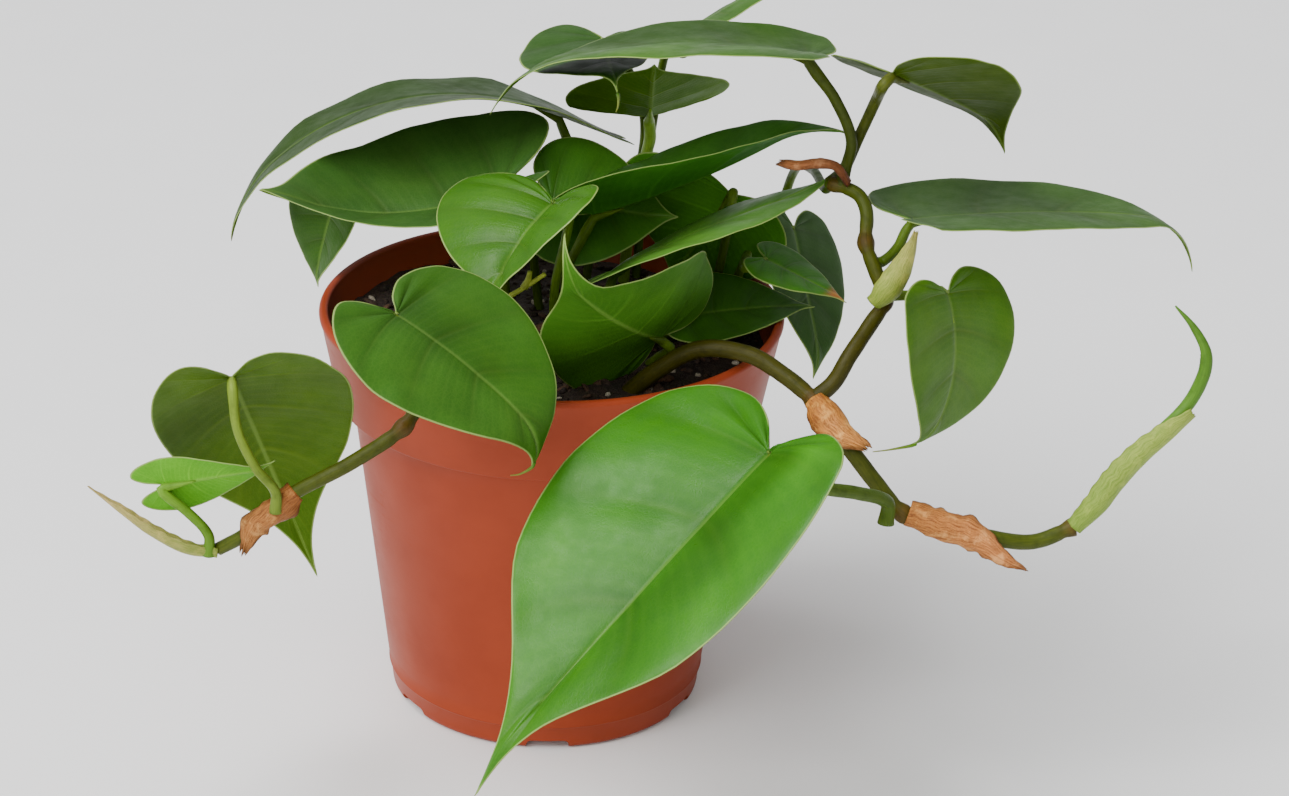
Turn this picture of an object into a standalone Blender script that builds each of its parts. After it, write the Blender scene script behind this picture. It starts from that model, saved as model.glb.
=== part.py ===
"""A heart-leaf philodendron in its plastic nursery pot.

The origin is on the floor, on the pot's axis.  +Z is up, -Y is the front, +X is the right-hand side.
Blender's lengths are metres.  The plant's own places and sizes are written in millimetres and degrees,
and turned into metres where the shapes are made.
"""

import math

import bmesh
import bpy
from mathutils import Matrix, Vector

MM = 0.001
UP = Vector((0.0, 0.0, 1.0))

# The pot, in millimetres.
POT_HEIGHT = 97.0
RIM_RADIUS = 54.0
BAND_HEIGHT = 21.0
BAND_LOWER_RADIUS = 50.0
BODY_UPPER_RADIUS = 46.5
BODY_LOWER_RADIUS = 37.0
SKIRT_HEIGHT = 6.0
SKIRT_STEP = 0.4
WALL = 1.3
FLOOR_THICKNESS = 1.8
FOOT_ROUND = 1.0
POT_SEGMENTS = 48
DRAIN_COUNT = 6
DRAIN_WIDTH = 10.0
DRAIN_HEIGHT = 2.2
DRAIN_DEPTH = 4.0
DRAIN_FIRST_ANGLE = -87.0

# The soil, in millimetres.
SOIL_TOP = 84.0
SOIL_MOUND = 1.5
SOIL_RINGS = 5
GAP = 0.3

# Edges that turn by more than this many degrees stay sharp.
SHARP_ANGLE = 40.0

# The plant, in millimetres.
BLADE_THICKNESS = 0.7
ROW_COUNT = 10
ROW_SEGMENTS = 3
MIDRIB_STEPS = 24
TIP_BEND_START = 0.72
FIRST_VEIN = 0.42
STEM_SIDES = 2
SHEATH_THICKNESS = 0.5

# Each leaf blade.  base is the joint of blade and petiole.  heading (from +X towards +Y), pitch and roll
# (right side down) turn the midrib at the joint.  droop, sway (to the right) and twist are spread along
# the midrib, and tip bends its last quarter down.  fold lifts both halves, and curl (left, right) bends
# them further towards their margins.  lobes (left, right) scales the lobes behind the joint, lean makes
# the right half wider than the left, and neck narrows the blade before its tip.
LEAVES = {
    "leaf_front": dict(
        base=(49, -80, 99), heading=222, pitch=-30, roll=17, length=97, width=67,
        droop=13, sway=11, twist=-34, tip=23, fold=14, curl=(-23, 11),
        lobes=(0.4, 0.6), lobe_lift=-3, lean=0.12, neck=0.6,
    ),
    "leaf_front_left": dict(
        base=(-31.2, -66.5, 122.6), heading=-20, pitch=-24, roll=-4, length=47.3, width=51.2,
        droop=15, sway=11, twist=17, tip=73, fold=-4, curl=(19, -25),
        lobes=(0.65, 1.15), lobe_lift=8, lean=-0.15, neck=-0.15,
    ),
    "leaf_left_heart": dict(
        base=(-67, -63, 105), heading=86, pitch=-43, roll=-18, length=74, width=44,
        droop=40, sway=5, twist=-8, tip=33, fold=-7, curl=(-5, -6),
        lobes=(1.1, 0.85), lobe_lift=1, lean=0.1, neck=0.3,
    ),
    "leaf_left_new": dict(
        base=(-87, -66, 79), heading=-7, pitch=17, roll=-78, length=31, width=13,
        droop=3, sway=-2, twist=40, tip=-27, fold=0, curl=(0, 0),
        lobes=(1.0, 1.0), lobe_lift=0, lean=0.0, neck=0.0,
    ),
    "leaf_upper_left": dict(
        base=(-12.9, 5.7, 123.5), heading=187, pitch=-25, roll=1, length=57.9, width=54.9,
        droop=-58, sway=-12, twist=-8, tip=7, fold=15, curl=(-4, 6),
        lobes=(1.2, 1.45), lobe_lift=1, lean=0.15, neck=-0.35,
    ),
    "leaf_arching": dict(
        base=(0, 31, 132.8), heading=179, pitch=22, roll=17, length=95, width=47,
        droop=84, sway=1, twist=-18, tip=19, fold=2, curl=(6, 0),
        lobes=(1.0, 1.0), lobe_lift=0, lean=0.0, neck=0.0,
    ),
    "leaf_hanging_left": dict(
        base=(-50.2, 23.5, 119.7), heading=226, pitch=-66, roll=4, length=28.5, width=26.5,
        droop=12, sway=0, twist=12, tip=12, fold=8, curl=(0, 4),
        lobes=(1.0, 1.0), lobe_lift=0, lean=0.1, neck=0.0,
    ),
    "leaf_centre_glossy": dict(
        base=(0.4, -21.1, 130.8), heading=234, pitch=-15, roll=13, length=30.5, width=42.3,
        droop=34, sway=-3, twist=0, tip=-5, fold=22, curl=(-16, -19),
        lobes=(0.95, 0.95), lobe_lift=-3, lean=0.25, neck=-0.1,
    ),
    "leaf_top_long": dict(
        base=(56, -2, 161.4), heading=172, pitch=6, roll=21, length=77.9, width=49.9,
        droop=31, sway=3, twist=-10, tip=40, fold=3, curl=(-18, 21),
        lobes=(0.4, 0.4), lobe_lift=2, lean=0.0, neck=0.25,
    ),
    "leaf_top_small": dict(
        base=(7, 32.6, 149.1), heading=-86, pitch=5, roll=2, length=51, width=30,
        droop=-4, sway=-14, twist=2, tip=9, fold=-3, curl=(0, -7),
        lobes=(0.6, 1.4), lobe_lift=8, lean=0.35, neck=0.0,
    ),
    "leaf_topmost": dict(
        base=(46.1, 27.5, 174.2), heading=183, pitch=-35, roll=13, length=33.1, width=27.1,
        droop=-5, sway=2, twist=-13, tip=8, fold=-7, curl=(1, -4),
        lobes=(1.0, 1.0), lobe_lift=0, lean=-0.05, neck=0.0,
    ),
    "leaf_raised": dict(
        base=(21, 36.7, 131.2), heading=-87, pitch=21, roll=11, length=40.4, width=42.4,
        droop=-26, sway=-1, twist=-15, tip=-18, fold=22, curl=(6, 3),
        lobes=(0.2, 0.2), lobe_lift=1, lean=0.1, neck=0.0,
    ),
    "leaf_centre_back": dict(
        base=(-1, 13, 118.4), heading=0, pitch=-10, roll=42, length=30, width=34,
        droop=-10, sway=-1, twist=-4, tip=-9, fold=5, curl=(-4, 0),
        lobes=(1.0, 1.0), lobe_lift=3, lean=0.0, neck=0.0,
    ),
    "leaf_folded": dict(
        base=(9.2, -4.4, 122.2), heading=8, pitch=15, roll=-22, length=62.1, width=44.4,
        droop=-18, sway=1, twist=17, tip=48, fold=23, curl=(-9, -3),
        lobes=(1.0, 0.95), lobe_lift=-2, lean=0.0, neck=0.05,
    ),
    "leaf_inner_long": dict(
        base=(14, -16, 113), heading=18, pitch=24, roll=-25, length=57, width=45,
        droop=13, sway=-3, twist=20, tip=-21, fold=-1, curl=(-6, 4),
        lobes=(1.0, 1.0), lobe_lift=3, lean=-0.05, neck=-0.05,
    ),
    "leaf_inner_upright": dict(
        base=(25, -21, 99), heading=246, pitch=26, roll=53, length=61, width=44,
        droop=-18, sway=-7, twist=-42, tip=-83, fold=3, curl=(32, -6),
        lobes=(1.0, 0.4), lobe_lift=-2, lean=-0.05, neck=0.6,
    ),
    "leaf_inner_shaded": dict(
        base=(41, 22.5, 117.5), heading=142, pitch=-56, roll=65, length=34, width=44,
        droop=-6, sway=4, twist=11, tip=17, fold=-10, curl=(-6, -8),
        lobes=(0.5, 0.7), lobe_lift=0, lean=-0.15, neck=0.3,
    ),
    "leaf_low_shaded": dict(
        base=(31, -3, 97), heading=12, pitch=5, roll=14, length=31, width=28,
        droop=7, sway=1, twist=-7, tip=4, fold=6, curl=(0, 3),
        lobes=(1.0, 1.0), lobe_lift=0, lean=-0.05, neck=0.0,
    ),
    "leaf_dry_tip": dict(
        base=(49, -6, 113), heading=-19, pitch=-19, roll=2, length=21, width=20,
        droop=2, sway=0, twist=-9, tip=6, fold=0, curl=(1, -2),
        lobes=(1.0, 1.0), lobe_lift=0, lean=0.0, neck=0.0,
    ),
    "leaf_hanging_right": dict(
        base=(56.7, 36.5, 103.8), heading=-70, pitch=-51, roll=-35, length=37.7, width=30.6,
        droop=2, sway=-2, twist=9, tip=36, fold=0, curl=(-1, -4),
        lobes=(0.75, 1.0), lobe_lift=-1, lean=-0.1, neck=0.0,
    ),
    "leaf_right_long": dict(
        base=(81, -16, 128), heading=19, pitch=0, roll=-14, length=78, width=44,
        droop=12, sway=2, twist=12, tip=70, fold=1, curl=(15, -5),
        lobes=(0.3, 0.4), lobe_lift=12, lean=-0.15, neck=0.05,
    ),
    "leaf_upper_right": dict(
        base=(75, -9, 160), heading=45, pitch=-26, roll=-13, length=49, width=40,
        droop=8, sway=2, twist=1, tip=45, fold=9, curl=(-2, 5),
        lobes=(1.05, 0.8), lobe_lift=1, lean=0.15, neck=0.25,
    ),
    "leaf_right_heart": dict(
        base=(89, -27, 115), heading=-56, pitch=-56, roll=-25, length=40, width=41,
        droop=63, sway=2, twist=10, tip=25, fold=-1, curl=(15, -4),
        lobes=(0.7, 0.5), lobe_lift=-1, lean=-0.1, neck=0.0,
    ),
}


# Half of a heart-shaped blade, from the joint round one lobe to the tip: (share of half width, share of length).
HALF_OUTLINE = (
    (0.0, 0.0), (0.08, -0.05), (0.22, -0.13), (0.42, -0.185), (0.62, -0.17), (0.82, -0.1), (0.95, 0.01),
    (1.0, 0.14), (0.97, 0.28), (0.87, 0.42), (0.71, 0.56), (0.5, 0.69), (0.28, 0.8), (0.115, 0.885),
    (0.04, 0.945), (0.0, 1.0),
)

# The three vines: (route, radius at the start, radius at the end).
VINES = {
    "vine_right": (
        ((17, -26, 86), (24, -29, 94), (34, -31, 101), (45, -33, 101), (53, -37, 98), (60, -42, 94),
         (66, -50, 89), (74, -54, 80), (80, -56, 74), (88, -57, 72), (98, -58, 70), (109, -56, 68),
         (118, -54, 71)),
        2.1, 1.7,
    ),
    "vine_left": (
        ((-8, -32, 86), (-14, -40, 95), (-21, -49, 101), (-26, -57, 99), (-30, -62, 94), (-41, -66, 87),
         (-55, -68, 79), (-63, -69, 71), (-70, -68, 66)),
        1.8, 1.5,
    ),
    "vine_branch": (
        ((64, -40, 98), (67, -38, 103), (72, -32, 109), (75, -28, 113), (73, -20, 117), (71, -14, 121),
         (71, -10, 127), (69, -7, 130), (63, -3, 131)),
        1.9, 1.5,
    ),
}

# The petioles, each from the edge of its vine or the soil to just below its blade's joint.
PETIOLE_ROUTES = {
    "leaf_front": ((76, -61, 79), (69, -67, 84), (60, -74, 89)),
    "leaf_front_left": ((-26, -57, 103), (-27, -61, 109)),
    "leaf_left_heart": ((-57, -71, 82), (-61, -72, 88), (-65, -70, 96)),
    "leaf_left_new": ((-73, -69, 70), (-79, -68, 73)),
    "leaf_upper_left": ((-7, 2, 86), (-11, -1, 104)),
    "leaf_arching": ((7, 28, 86), (8, 33, 112)),
    "leaf_hanging_left": ((-15, 20, 86), (-24, 25, 104), (-37, 27, 114)),
    "leaf_centre_glossy": ((1, -8, 86), (1, -15, 108)),
    "leaf_top_long": ((66, -3, 134), (67, -4, 142), (63, -3, 151)),
    "leaf_top_small": ((9, 43, 86), (15, 46, 115), (17, 45, 133)),
    "leaf_topmost": ((17, 43, 86), (23, 46, 118), (26, 46, 138), (36, 41, 158)),
    "leaf_raised": ((16, 36, 86), (18, 39, 110)),
    "leaf_centre_back": ((-3, 14, 86), (-5, 14, 104)),
    "leaf_folded": ((5, -3, 86), (3, -5, 106)),
    "leaf_inner_long": ((11, -12, 86), (11, -17, 101)),
    "leaf_inner_upright": ((22, -10, 86), (25, -16, 92)),
    "leaf_inner_shaded": ((36, 20, 86), (39, 18, 101)),
    "leaf_low_shaded": ((26, 3, 86), (27, 0, 91)),
    "leaf_dry_tip": ((39, 17, 86), (45, 14, 105)),
    "leaf_hanging_right": ((62, 1, 128), (60, 20, 125), (57, 38, 119), (55, 44, 111)),
    "leaf_right_long": ((75, -17, 118), (78, -18, 122)),
    "leaf_upper_right": ((66, 1, 133), (69, -1, 142), (72, -5, 152)),
    "leaf_right_heart": ((80, -27, 114), (84, -26, 114)),
}
PETIOLE_RADII = {"leaf_front": 1.5, "leaf_top_long": 1.3, "leaf_upper_right": 1.3, "leaf_raised": 1.4}
PETIOLE_RADIUS = 1.1
JOINT_REACH = 5.0
TUBE_STEP = 5.0

# The sheaths left round the nodes: route, radius and open span in degrees at each point, and the way
# that the middle of the sheath faces.
SHEATHS = {
    "sheath_right_first": (
        ((60, -42, 94), (63, -46, 91.5), (66, -50, 89), (71, -53, 87)),
        (3.3, 3.4, 3.1, 1.8), (200, 220, 170, 60), (0, -0.4, 1), "sheath_dry",
    ),
    "sheath_right_second": (
        ((81, -56, 74), (88, -57, 72), (96, -58, 70), (102, -61, 67), (107, -63, 65)),
        (3.0, 3.0, 3.1, 2.3, 0.8), (220, 230, 200, 120, 60), (0, -1, 0.2), "sheath_dry",
    ),
    "sheath_left": (
        ((-53, -67, 80), (-58, -69, 76), (-62, -69, 72), (-64, -71, 67)),
        (2.7, 2.7, 2.5, 1.2), (180, 180, 160, 60), (0, -1, 0.3), "sheath_dry",
    ),
    "sheath_branch_ribbon": (
        ((66, -6, 132), (63, -7, 136), (59, -8, 137), (55, -7, 136), (51, -6, 136)),
        (1.8, 1.6, 1.4, 1.4, 1.2), (120, 130, 140, 150, 100), (0, -0.4, 1), "sheath_dry",
    ),
    "sheath_branch_green": (
        ((74, -31, 111), (77, -31, 113), (80, -30, 117), (82, -29, 121), (84, -28, 124)),
        (2.6, 3.2, 2.9, 2.0, 0.7), (180, 200, 190, 150, 80), (0.5, -1, -0.4), "sheath_fresh",
    ),
    "sheath_left_end": (
        ((-70, -68, 66), (-76, -68, 67), (-84, -66, 70), (-92, -63, 74), (-99, -60, 77)),
        (2.2, 2.3, 2.1, 1.6, 0.6), (200, 190, 180, 160, 80), (-0.3, -0.4, -1), "sheath_pale",
    ),
    "sheath_right_end": (
        ((118, -54, 71), (122, -53, 76), (126, -51, 82), (131, -50, 88), (137, -48, 93), (142, -46, 97)),
        (2.4, 2.9, 3.2, 3.0, 2.7, 2.2), (300, 260, 240, 240, 220, 140), (0.8, -0.6, -0.6), "sheath_fresh",
    ),
}
SHEATH_SEGMENTS = 6

ROLLED_LEAF_ROUTE = (
    (126, -51, 82), (131, -50, 88), (137, -48, 93), (142, -46, 98), (145, -45, 105), (145, -44, 110),
    (142, -42, 115), (138, -40, 119),
)
ROLLED_LEAF_RADII = (1.2, 1.3, 1.4, 1.5, 1.5, 1.4, 0.9, 0.2)

# Base colour, roughness.
COLOURS = {
    "terracotta_plastic": ((0.50, 0.10, 0.035), 0.42),
    "soil": ((0.035, 0.018, 0.010), 0.95),
    "leaf": ((0.055, 0.20, 0.025), 0.35),
    "stem": ((0.13, 0.17, 0.03), 0.45),
    "sheath_dry": ((0.42, 0.17, 0.06), 0.7),
    "sheath_fresh": ((0.38, 0.46, 0.12), 0.5),
    "sheath_pale": ((0.50, 0.42, 0.20), 0.55),
}


def clear_scene():
    for scene_object in list(bpy.data.objects):
        bpy.data.objects.remove(scene_object, do_unlink=True)


def make_material(name):
    colour, roughness = COLOURS[name]
    material = bpy.data.materials.new(name)
    material.use_nodes = True
    shader = material.node_tree.nodes["Principled BSDF"]
    shader.inputs["Base Color"].default_value = (*colour, 1.0)
    shader.inputs["Roughness"].default_value = roughness
    shader.inputs["Metallic"].default_value = 0.0
    material.diffuse_color = (*colour, 1.0)
    return material


def add_mesh_object(name, bm, material):
    """Makes a smooth-shaded object, with its sharp edges kept, of a bmesh drawn in millimetres."""
    bmesh.ops.scale(bm, vec=(MM, MM, MM), verts=bm.verts)
    mesh = bpy.data.meshes.new(name)
    bm.to_mesh(mesh)
    bm.free()
    mesh.shade_smooth()
    mesh.set_sharp_from_angle(angle=math.radians(SHARP_ANGLE))
    mesh.materials.append(material)
    piece = bpy.data.objects.new(name, mesh)
    bpy.context.scene.collection.objects.link(piece)
    return piece


def curve_point(points, position):
    """A point of the smooth curve through the points; position runs from 0 to len(points) - 1."""
    last = len(points) - 1
    index = min(int(position), last - 1)
    t = position - index
    before, start, end, after = (Vector(points[min(max(index + k, 0), last)]) for k in (-1, 0, 1, 2))
    span = (end - start).length
    leave = (end - before) * (span / ((start - before).length + span))
    arrive = (after - start) * (span / ((after - end).length + span))
    return (
        start * (2.0 * t ** 3 - 3.0 * t * t + 1.0)
        + leave * (t ** 3 - 2.0 * t * t + t)
        + end * (3.0 * t * t - 2.0 * t ** 3)
        + arrive * (t ** 3 - t * t)
    )


def smooth_route(points, step):
    """Points at about one step apart along the smooth curve, with each one's share of the route."""
    spans = [(Vector(b) - Vector(a)).length for a, b in zip(points, points[1:])]
    count = max(2, round(sum(spans) / step))
    shares = [k / count for k in range(count + 1)]
    places = []
    for share in shares:
        distance = share * sum(spans)
        index = 0
        while index < len(spans) - 1 and distance > spans[index]:
            distance -= spans[index]
            index += 1
        places.append(curve_point(points, index + min(distance / spans[index], 1.0)))
    return places, shares


def blend_values(values, share):
    """The value at a share of the way along an even list."""
    position = share * (len(values) - 1)
    index = min(int(position), len(values) - 2)
    return values[index] + (values[index + 1] - values[index]) * (position - index)


# Pot and soil


def turned_solid(name, profile, material):
    """A solid of revolution: the profile's (radius, height) points run from the axis round to the axis."""
    bm = bmesh.new()
    corners = [bm.verts.new((radius, 0.0, height)) for radius, height in profile]
    edges = [bm.edges.new(pair) for pair in zip(corners, corners[1:])]
    bmesh.ops.spin(
        bm, geom=corners + edges, axis=(0, 0, 1), cent=(0, 0, 0), steps=POT_SEGMENTS, angle=2.0 * math.pi
    )
    bmesh.ops.remove_doubles(bm, verts=bm.verts, dist=0.01)
    bmesh.ops.recalc_face_normals(bm, faces=bm.faces)
    return add_mesh_object(name, bm, material)


def pot_profile():
    step_height = POT_HEIGHT - BAND_HEIGHT
    inner_floor = BODY_LOWER_RADIUS - WALL
    return (
        (0.0, 0.0),
        (BODY_LOWER_RADIUS - FOOT_ROUND, 0.0),
        (BODY_LOWER_RADIUS, FOOT_ROUND),
        (BODY_LOWER_RADIUS + 0.5, SKIRT_HEIGHT),
        (BODY_LOWER_RADIUS + 0.5 + SKIRT_STEP, SKIRT_HEIGHT + 0.6),
        (BODY_UPPER_RADIUS, step_height),
        (BAND_LOWER_RADIUS, step_height),
        (BAND_LOWER_RADIUS + 0.4, step_height + 1.0),
        (RIM_RADIUS - 0.5, POT_HEIGHT - 2.5),
        (RIM_RADIUS, POT_HEIGHT - 1.0),
        (RIM_RADIUS - 0.4, POT_HEIGHT),
        (RIM_RADIUS - 1.6, POT_HEIGHT),
        (RIM_RADIUS - 2.2, POT_HEIGHT - 1.2),
        (BODY_UPPER_RADIUS + 1.2, step_height + WALL),
        (BODY_UPPER_RADIUS - WALL, step_height - 0.5),
        (inner_floor + 0.4, FLOOR_THICKNESS + 1.5),
        (inner_floor - 1.0, FLOOR_THICKNESS),
        (0.0, FLOOR_THICKNESS),
    )


def drain_cutter(index):
    """A wedge that cuts one drain through the pot's lower corner."""
    bm = bmesh.new()
    bmesh.ops.create_cube(bm, size=1.0)
    bmesh.ops.scale(bm, vec=(2.0 * DRAIN_DEPTH, DRAIN_WIDTH, 2.0 * DRAIN_HEIGHT), verts=bm.verts)
    bmesh.ops.translate(bm, vec=(BODY_LOWER_RADIUS, 0.0, 0.0), verts=bm.verts)
    angle = math.radians(DRAIN_FIRST_ANGLE + index * 360.0 / DRAIN_COUNT)
    bmesh.ops.rotate(bm, cent=(0, 0, 0), matrix=Matrix.Rotation(angle, 3, "Z"), verts=bm.verts)
    cutter = add_mesh_object(f"drain_cutter_{index}", bm, bpy.data.materials["terracotta_plastic"])
    cutter.hide_render = True
    cutter.display_type = "WIRE"
    return cutter


def make_pot():
    pot = turned_solid("pot", pot_profile(), bpy.data.materials["terracotta_plastic"])
    for index in range(DRAIN_COUNT):
        cut = pot.modifiers.new(f"drain_{index}", "BOOLEAN")
        cut.operation = "DIFFERENCE"
        cut.object = drain_cutter(index)
    return pot


def make_soil():
    step_height = POT_HEIGHT - BAND_HEIGHT
    body_top = BODY_UPPER_RADIUS - WALL - GAP
    surface_radius = BODY_UPPER_RADIUS + 1.2 + (SOIL_TOP - step_height - WALL) * 0.23 - GAP
    bottom = FLOOR_THICKNESS + 0.6
    profile = [
        (0.0, bottom),
        (BODY_LOWER_RADIUS - WALL - 4.0, bottom),
        (BODY_LOWER_RADIUS - WALL - GAP, bottom + 3.0),
        (body_top - 0.3, step_height - 1.0),
        (body_top + 2.0, step_height + 2.2),
        (surface_radius - 0.4, SOIL_TOP - 0.6),
    ]
    for ring in range(SOIL_RINGS):
        share = 1.0 - (ring + 0.5) / SOIL_RINGS
        profile.append(((surface_radius - 1.5) * share, SOIL_TOP + SOIL_MOUND * (1.0 - share)))
    profile.append((0.0, SOIL_TOP + SOIL_MOUND))
    return turned_solid("soil", profile, bpy.data.materials["soil"])


# Leaves


def turned(vector, axis, angle):
    return Matrix.Rotation(angle, 3, axis) @ vector


def midrib_frames(leaf):
    """(point, along, across, face) at each step from the joint to the tip."""
    heading = math.radians(leaf["heading"])
    pitch = math.radians(leaf["pitch"])
    along = Vector((math.cos(heading) * math.cos(pitch), math.sin(heading) * math.cos(pitch), math.sin(pitch)))
    across = along.cross(UP).normalized()
    roll = math.radians(leaf["roll"])
    across = turned(across, along, roll)
    face = across.cross(along)
    point = Vector(leaf["base"])
    frames = [(point.copy(), along.copy(), across.copy(), face.copy())]
    for step in range(MIDRIB_STEPS):
        in_tip = (step + 0.5) / MIDRIB_STEPS >= TIP_BEND_START
        tip_share = 1.0 / ((1.0 - TIP_BEND_START) * MIDRIB_STEPS) if in_tip else 0.0
        down = -math.radians(leaf["droop"] / MIDRIB_STEPS + leaf["tip"] * tip_share)
        along, face = turned(along, across, down), turned(face, across, down)
        right = -math.radians(leaf["sway"] / MIDRIB_STEPS)
        along, across = turned(along, face, right), turned(across, face, right)
        twist = math.radians(leaf["twist"] / MIDRIB_STEPS)
        across, face = turned(across, along, twist), turned(face, along, twist)
        point = point + along * (leaf["length"] / MIDRIB_STEPS)
        frames.append((point.copy(), along.copy(), across.copy(), face.copy()))
    return frames


def smooth_step(value):
    value = min(max(value, 0.0), 1.0)
    return value * value * (3.0 - 2.0 * value)


def blade_point(leaf, frames, x, y, side):
    """Where the flat blade's point (x of the half width, y of the length) lies; side is +1 on the right."""
    half_width = leaf["width"] / 2.0 * (1.0 + side * leaf["lean"])
    left_lobe, right_lobe = leaf["lobes"]
    if y < 0.0:
        y *= right_lobe if side > 0 else left_lobe
    reach = x * half_width * (1.0 - leaf["neck"] * smooth_step((y - 0.5) / 0.4))
    position = min(max(y, 0.0), 1.0) * MIDRIB_STEPS
    index = min(int(position), MIDRIB_STEPS - 1)
    part = position - index
    point, _, across, face = (a.lerp(b, part) for a, b in zip(frames[index], frames[index + 1]))
    if y < 0.0:
        lift = math.radians(leaf["lobe_lift"])
        backward = frames[0][3] * math.sin(lift) - frames[0][1] * math.cos(lift)
        point = point + backward * (-y * leaf["length"])
    fold = math.radians(leaf["fold"])
    bend = math.radians(leaf["curl"][1 if side > 0 else 0]) / half_width
    if abs(bend) < 1e-6:
        outward, upward = reach * math.cos(fold), reach * math.sin(fold)
    else:
        outward = (math.sin(fold + bend * reach) - math.sin(fold)) / bend
        upward = (math.cos(fold) - math.cos(fold + bend * reach)) / bend
    return point + across.normalized() * (side * outward) + face.normalized() * upward


def outline_point(share):
    point = curve_point([(x, y, 0.0) for x, y in HALF_OUTLINE], share * (len(HALF_OUTLINE) - 1))
    return max(point.x, 0.0), point.y


def vein_origin(share):
    """How far along the midrib the vein to this part of the margin leaves it."""
    return max(0.0, (share - FIRST_VEIN) / (1.0 - FIRST_VEIN)) ** 1.15


def vein_point(share, reach):
    """A point on the curved vein from the midrib (reach 0) to the margin (reach 1)."""
    edge_x, edge_y = outline_point(share)
    start_y = vein_origin(share)
    middle_x = edge_x * 0.5
    middle_y = start_y * 0.55 + edge_y * 0.45 - (0.04 if share > 0.3 else 0.0)
    x = 2.0 * reach * (1.0 - reach) * middle_x + reach * reach * edge_x
    y = (1.0 - reach) ** 2 * start_y + 2.0 * reach * (1.0 - reach) * middle_y + reach * reach * edge_y
    return x, y


def make_leaf(name, leaf, material):
    """A blade: its veins' rows joined into a sheet on each side of the midrib, with a thickness."""
    frames = midrib_frames(leaf)
    bm = bmesh.new()
    shares = [0.07 + 0.93 * row / ROW_COUNT for row in range(ROW_COUNT)]
    midrib = {}
    for share in shares:
        origin = vein_origin(share)
        if origin not in midrib:
            midrib[origin] = bm.verts.new(blade_point(leaf, frames, 0.0, origin, 1))
    tip = bm.verts.new(frames[-1][0])
    for side in (1, -1):
        rows = []
        for share in shares:
            row = [midrib[vein_origin(share)]]
            for segment in range(1, ROW_SEGMENTS + 1):
                x, y = vein_point(share, segment / ROW_SEGMENTS)
                row.append(bm.verts.new(blade_point(leaf, frames, x, y, side)))
            rows.append(row)
        rows.append([tip] * (ROW_SEGMENTS + 1))
        for row, next_row in zip(rows, rows[1:]):
            for k in range(ROW_SEGMENTS):
                corners = [row[k], row[k + 1], next_row[k + 1], next_row[k]]
                corners = [corner for i, corner in enumerate(corners) if corner not in corners[:i]]
                if side < 0:
                    corners.reverse()
                bm.faces.new(corners)
    piece = add_mesh_object(name, bm, material)
    thickness = piece.modifiers.new("thickness", "SOLIDIFY")
    thickness.thickness = BLADE_THICKNESS * MM
    thickness.offset = 0.0
    return piece


# Stems


def make_tube(name, points, radii, material, sides=STEM_SIDES):
    """A round stem along the points, as a bevelled curve with closed ends."""
    curve = bpy.data.curves.new(name, "CURVE")
    curve.dimensions = "3D"
    curve.bevel_depth = MM
    curve.bevel_resolution = sides
    curve.use_fill_caps = True
    spline = curve.splines.new("POLY")
    spline.use_smooth = True
    spline.points.add(len(points) - 1)
    for spline_point, point, radius in zip(spline.points, points, radii):
        spline_point.co = (*(point * MM), 1.0)
        spline_point.radius = radius
    curve.materials.append(material)
    piece = bpy.data.objects.new(name, curve)
    bpy.context.scene.collection.objects.link(piece)
    return piece


def make_vine(name, route, start_radius, end_radius):
    points, shares = smooth_route(route, TUBE_STEP)
    radii = [start_radius + (end_radius - start_radius) * share for share in shares]
    return make_tube(name, points, radii, bpy.data.materials["stem"])


def make_petiole(leaf_name, route):
    """From the route's start to just below the blade's joint."""
    leaf = LEAVES[leaf_name]
    radius = PETIOLE_RADII.get(leaf_name, PETIOLE_RADIUS)
    joint, along, _, face = midrib_frames(leaf)[0]
    below = BLADE_THICKNESS / 2.0 + GAP + 0.1 + radius
    end = joint - face * below - along * 0.5
    reach = min(JOINT_REACH, 0.35 * (end - Vector(route[-1])).length)
    before_end = end - (face + along) * 0.7 * reach
    points, _ = smooth_route((*route, before_end, end), TUBE_STEP)
    radii = [radius] * len(points)
    return make_tube(leaf_name.replace("leaf", "petiole"), points, radii, bpy.data.materials["stem"], 1)


# Sheaths


def make_sheath(name, route, radii, spans, facing, material):
    """A thin trough round the route, open at the back of the way that it faces."""
    points, shares = smooth_route(route, TUBE_STEP * 0.8)
    bm = bmesh.new()
    rows = []
    for index, (point, share) in enumerate(zip(points, shares)):
        ahead = points[min(index + 1, len(points) - 1)] - points[max(index - 1, 0)]
        ahead.normalize()
        front = Vector(facing)
        front = (front - ahead * front.dot(ahead)).normalized()
        side = ahead.cross(front)
        radius = blend_values(radii, share)
        half_span = math.radians(blend_values(spans, share)) / 2.0
        row = []
        for k in range(SHEATH_SEGMENTS + 1):
            angle = half_span * (2.0 * k / SHEATH_SEGMENTS - 1.0)
            row.append(bm.verts.new(point + (front * math.cos(angle) + side * math.sin(angle)) * radius))
        rows.append(row)
    for row, next_row in zip(rows, rows[1:]):
        for k in range(SHEATH_SEGMENTS):
            bm.faces.new((row[k], row[k + 1], next_row[k + 1], next_row[k]))
    bmesh.ops.recalc_face_normals(bm, faces=bm.faces)
    piece = add_mesh_object(name, bm, material)
    thickness = piece.modifiers.new("thickness", "SOLIDIFY")
    thickness.thickness = SHEATH_THICKNESS * MM
    thickness.offset = 0.0
    return piece


def make_rolled_leaf():
    points, shares = smooth_route(ROLLED_LEAF_ROUTE, TUBE_STEP * 0.8)
    radii = [blend_values(ROLLED_LEAF_RADII, share) for share in shares]
    return make_tube("leaf_rolled", points, radii, bpy.data.materials["leaf"])


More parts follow.
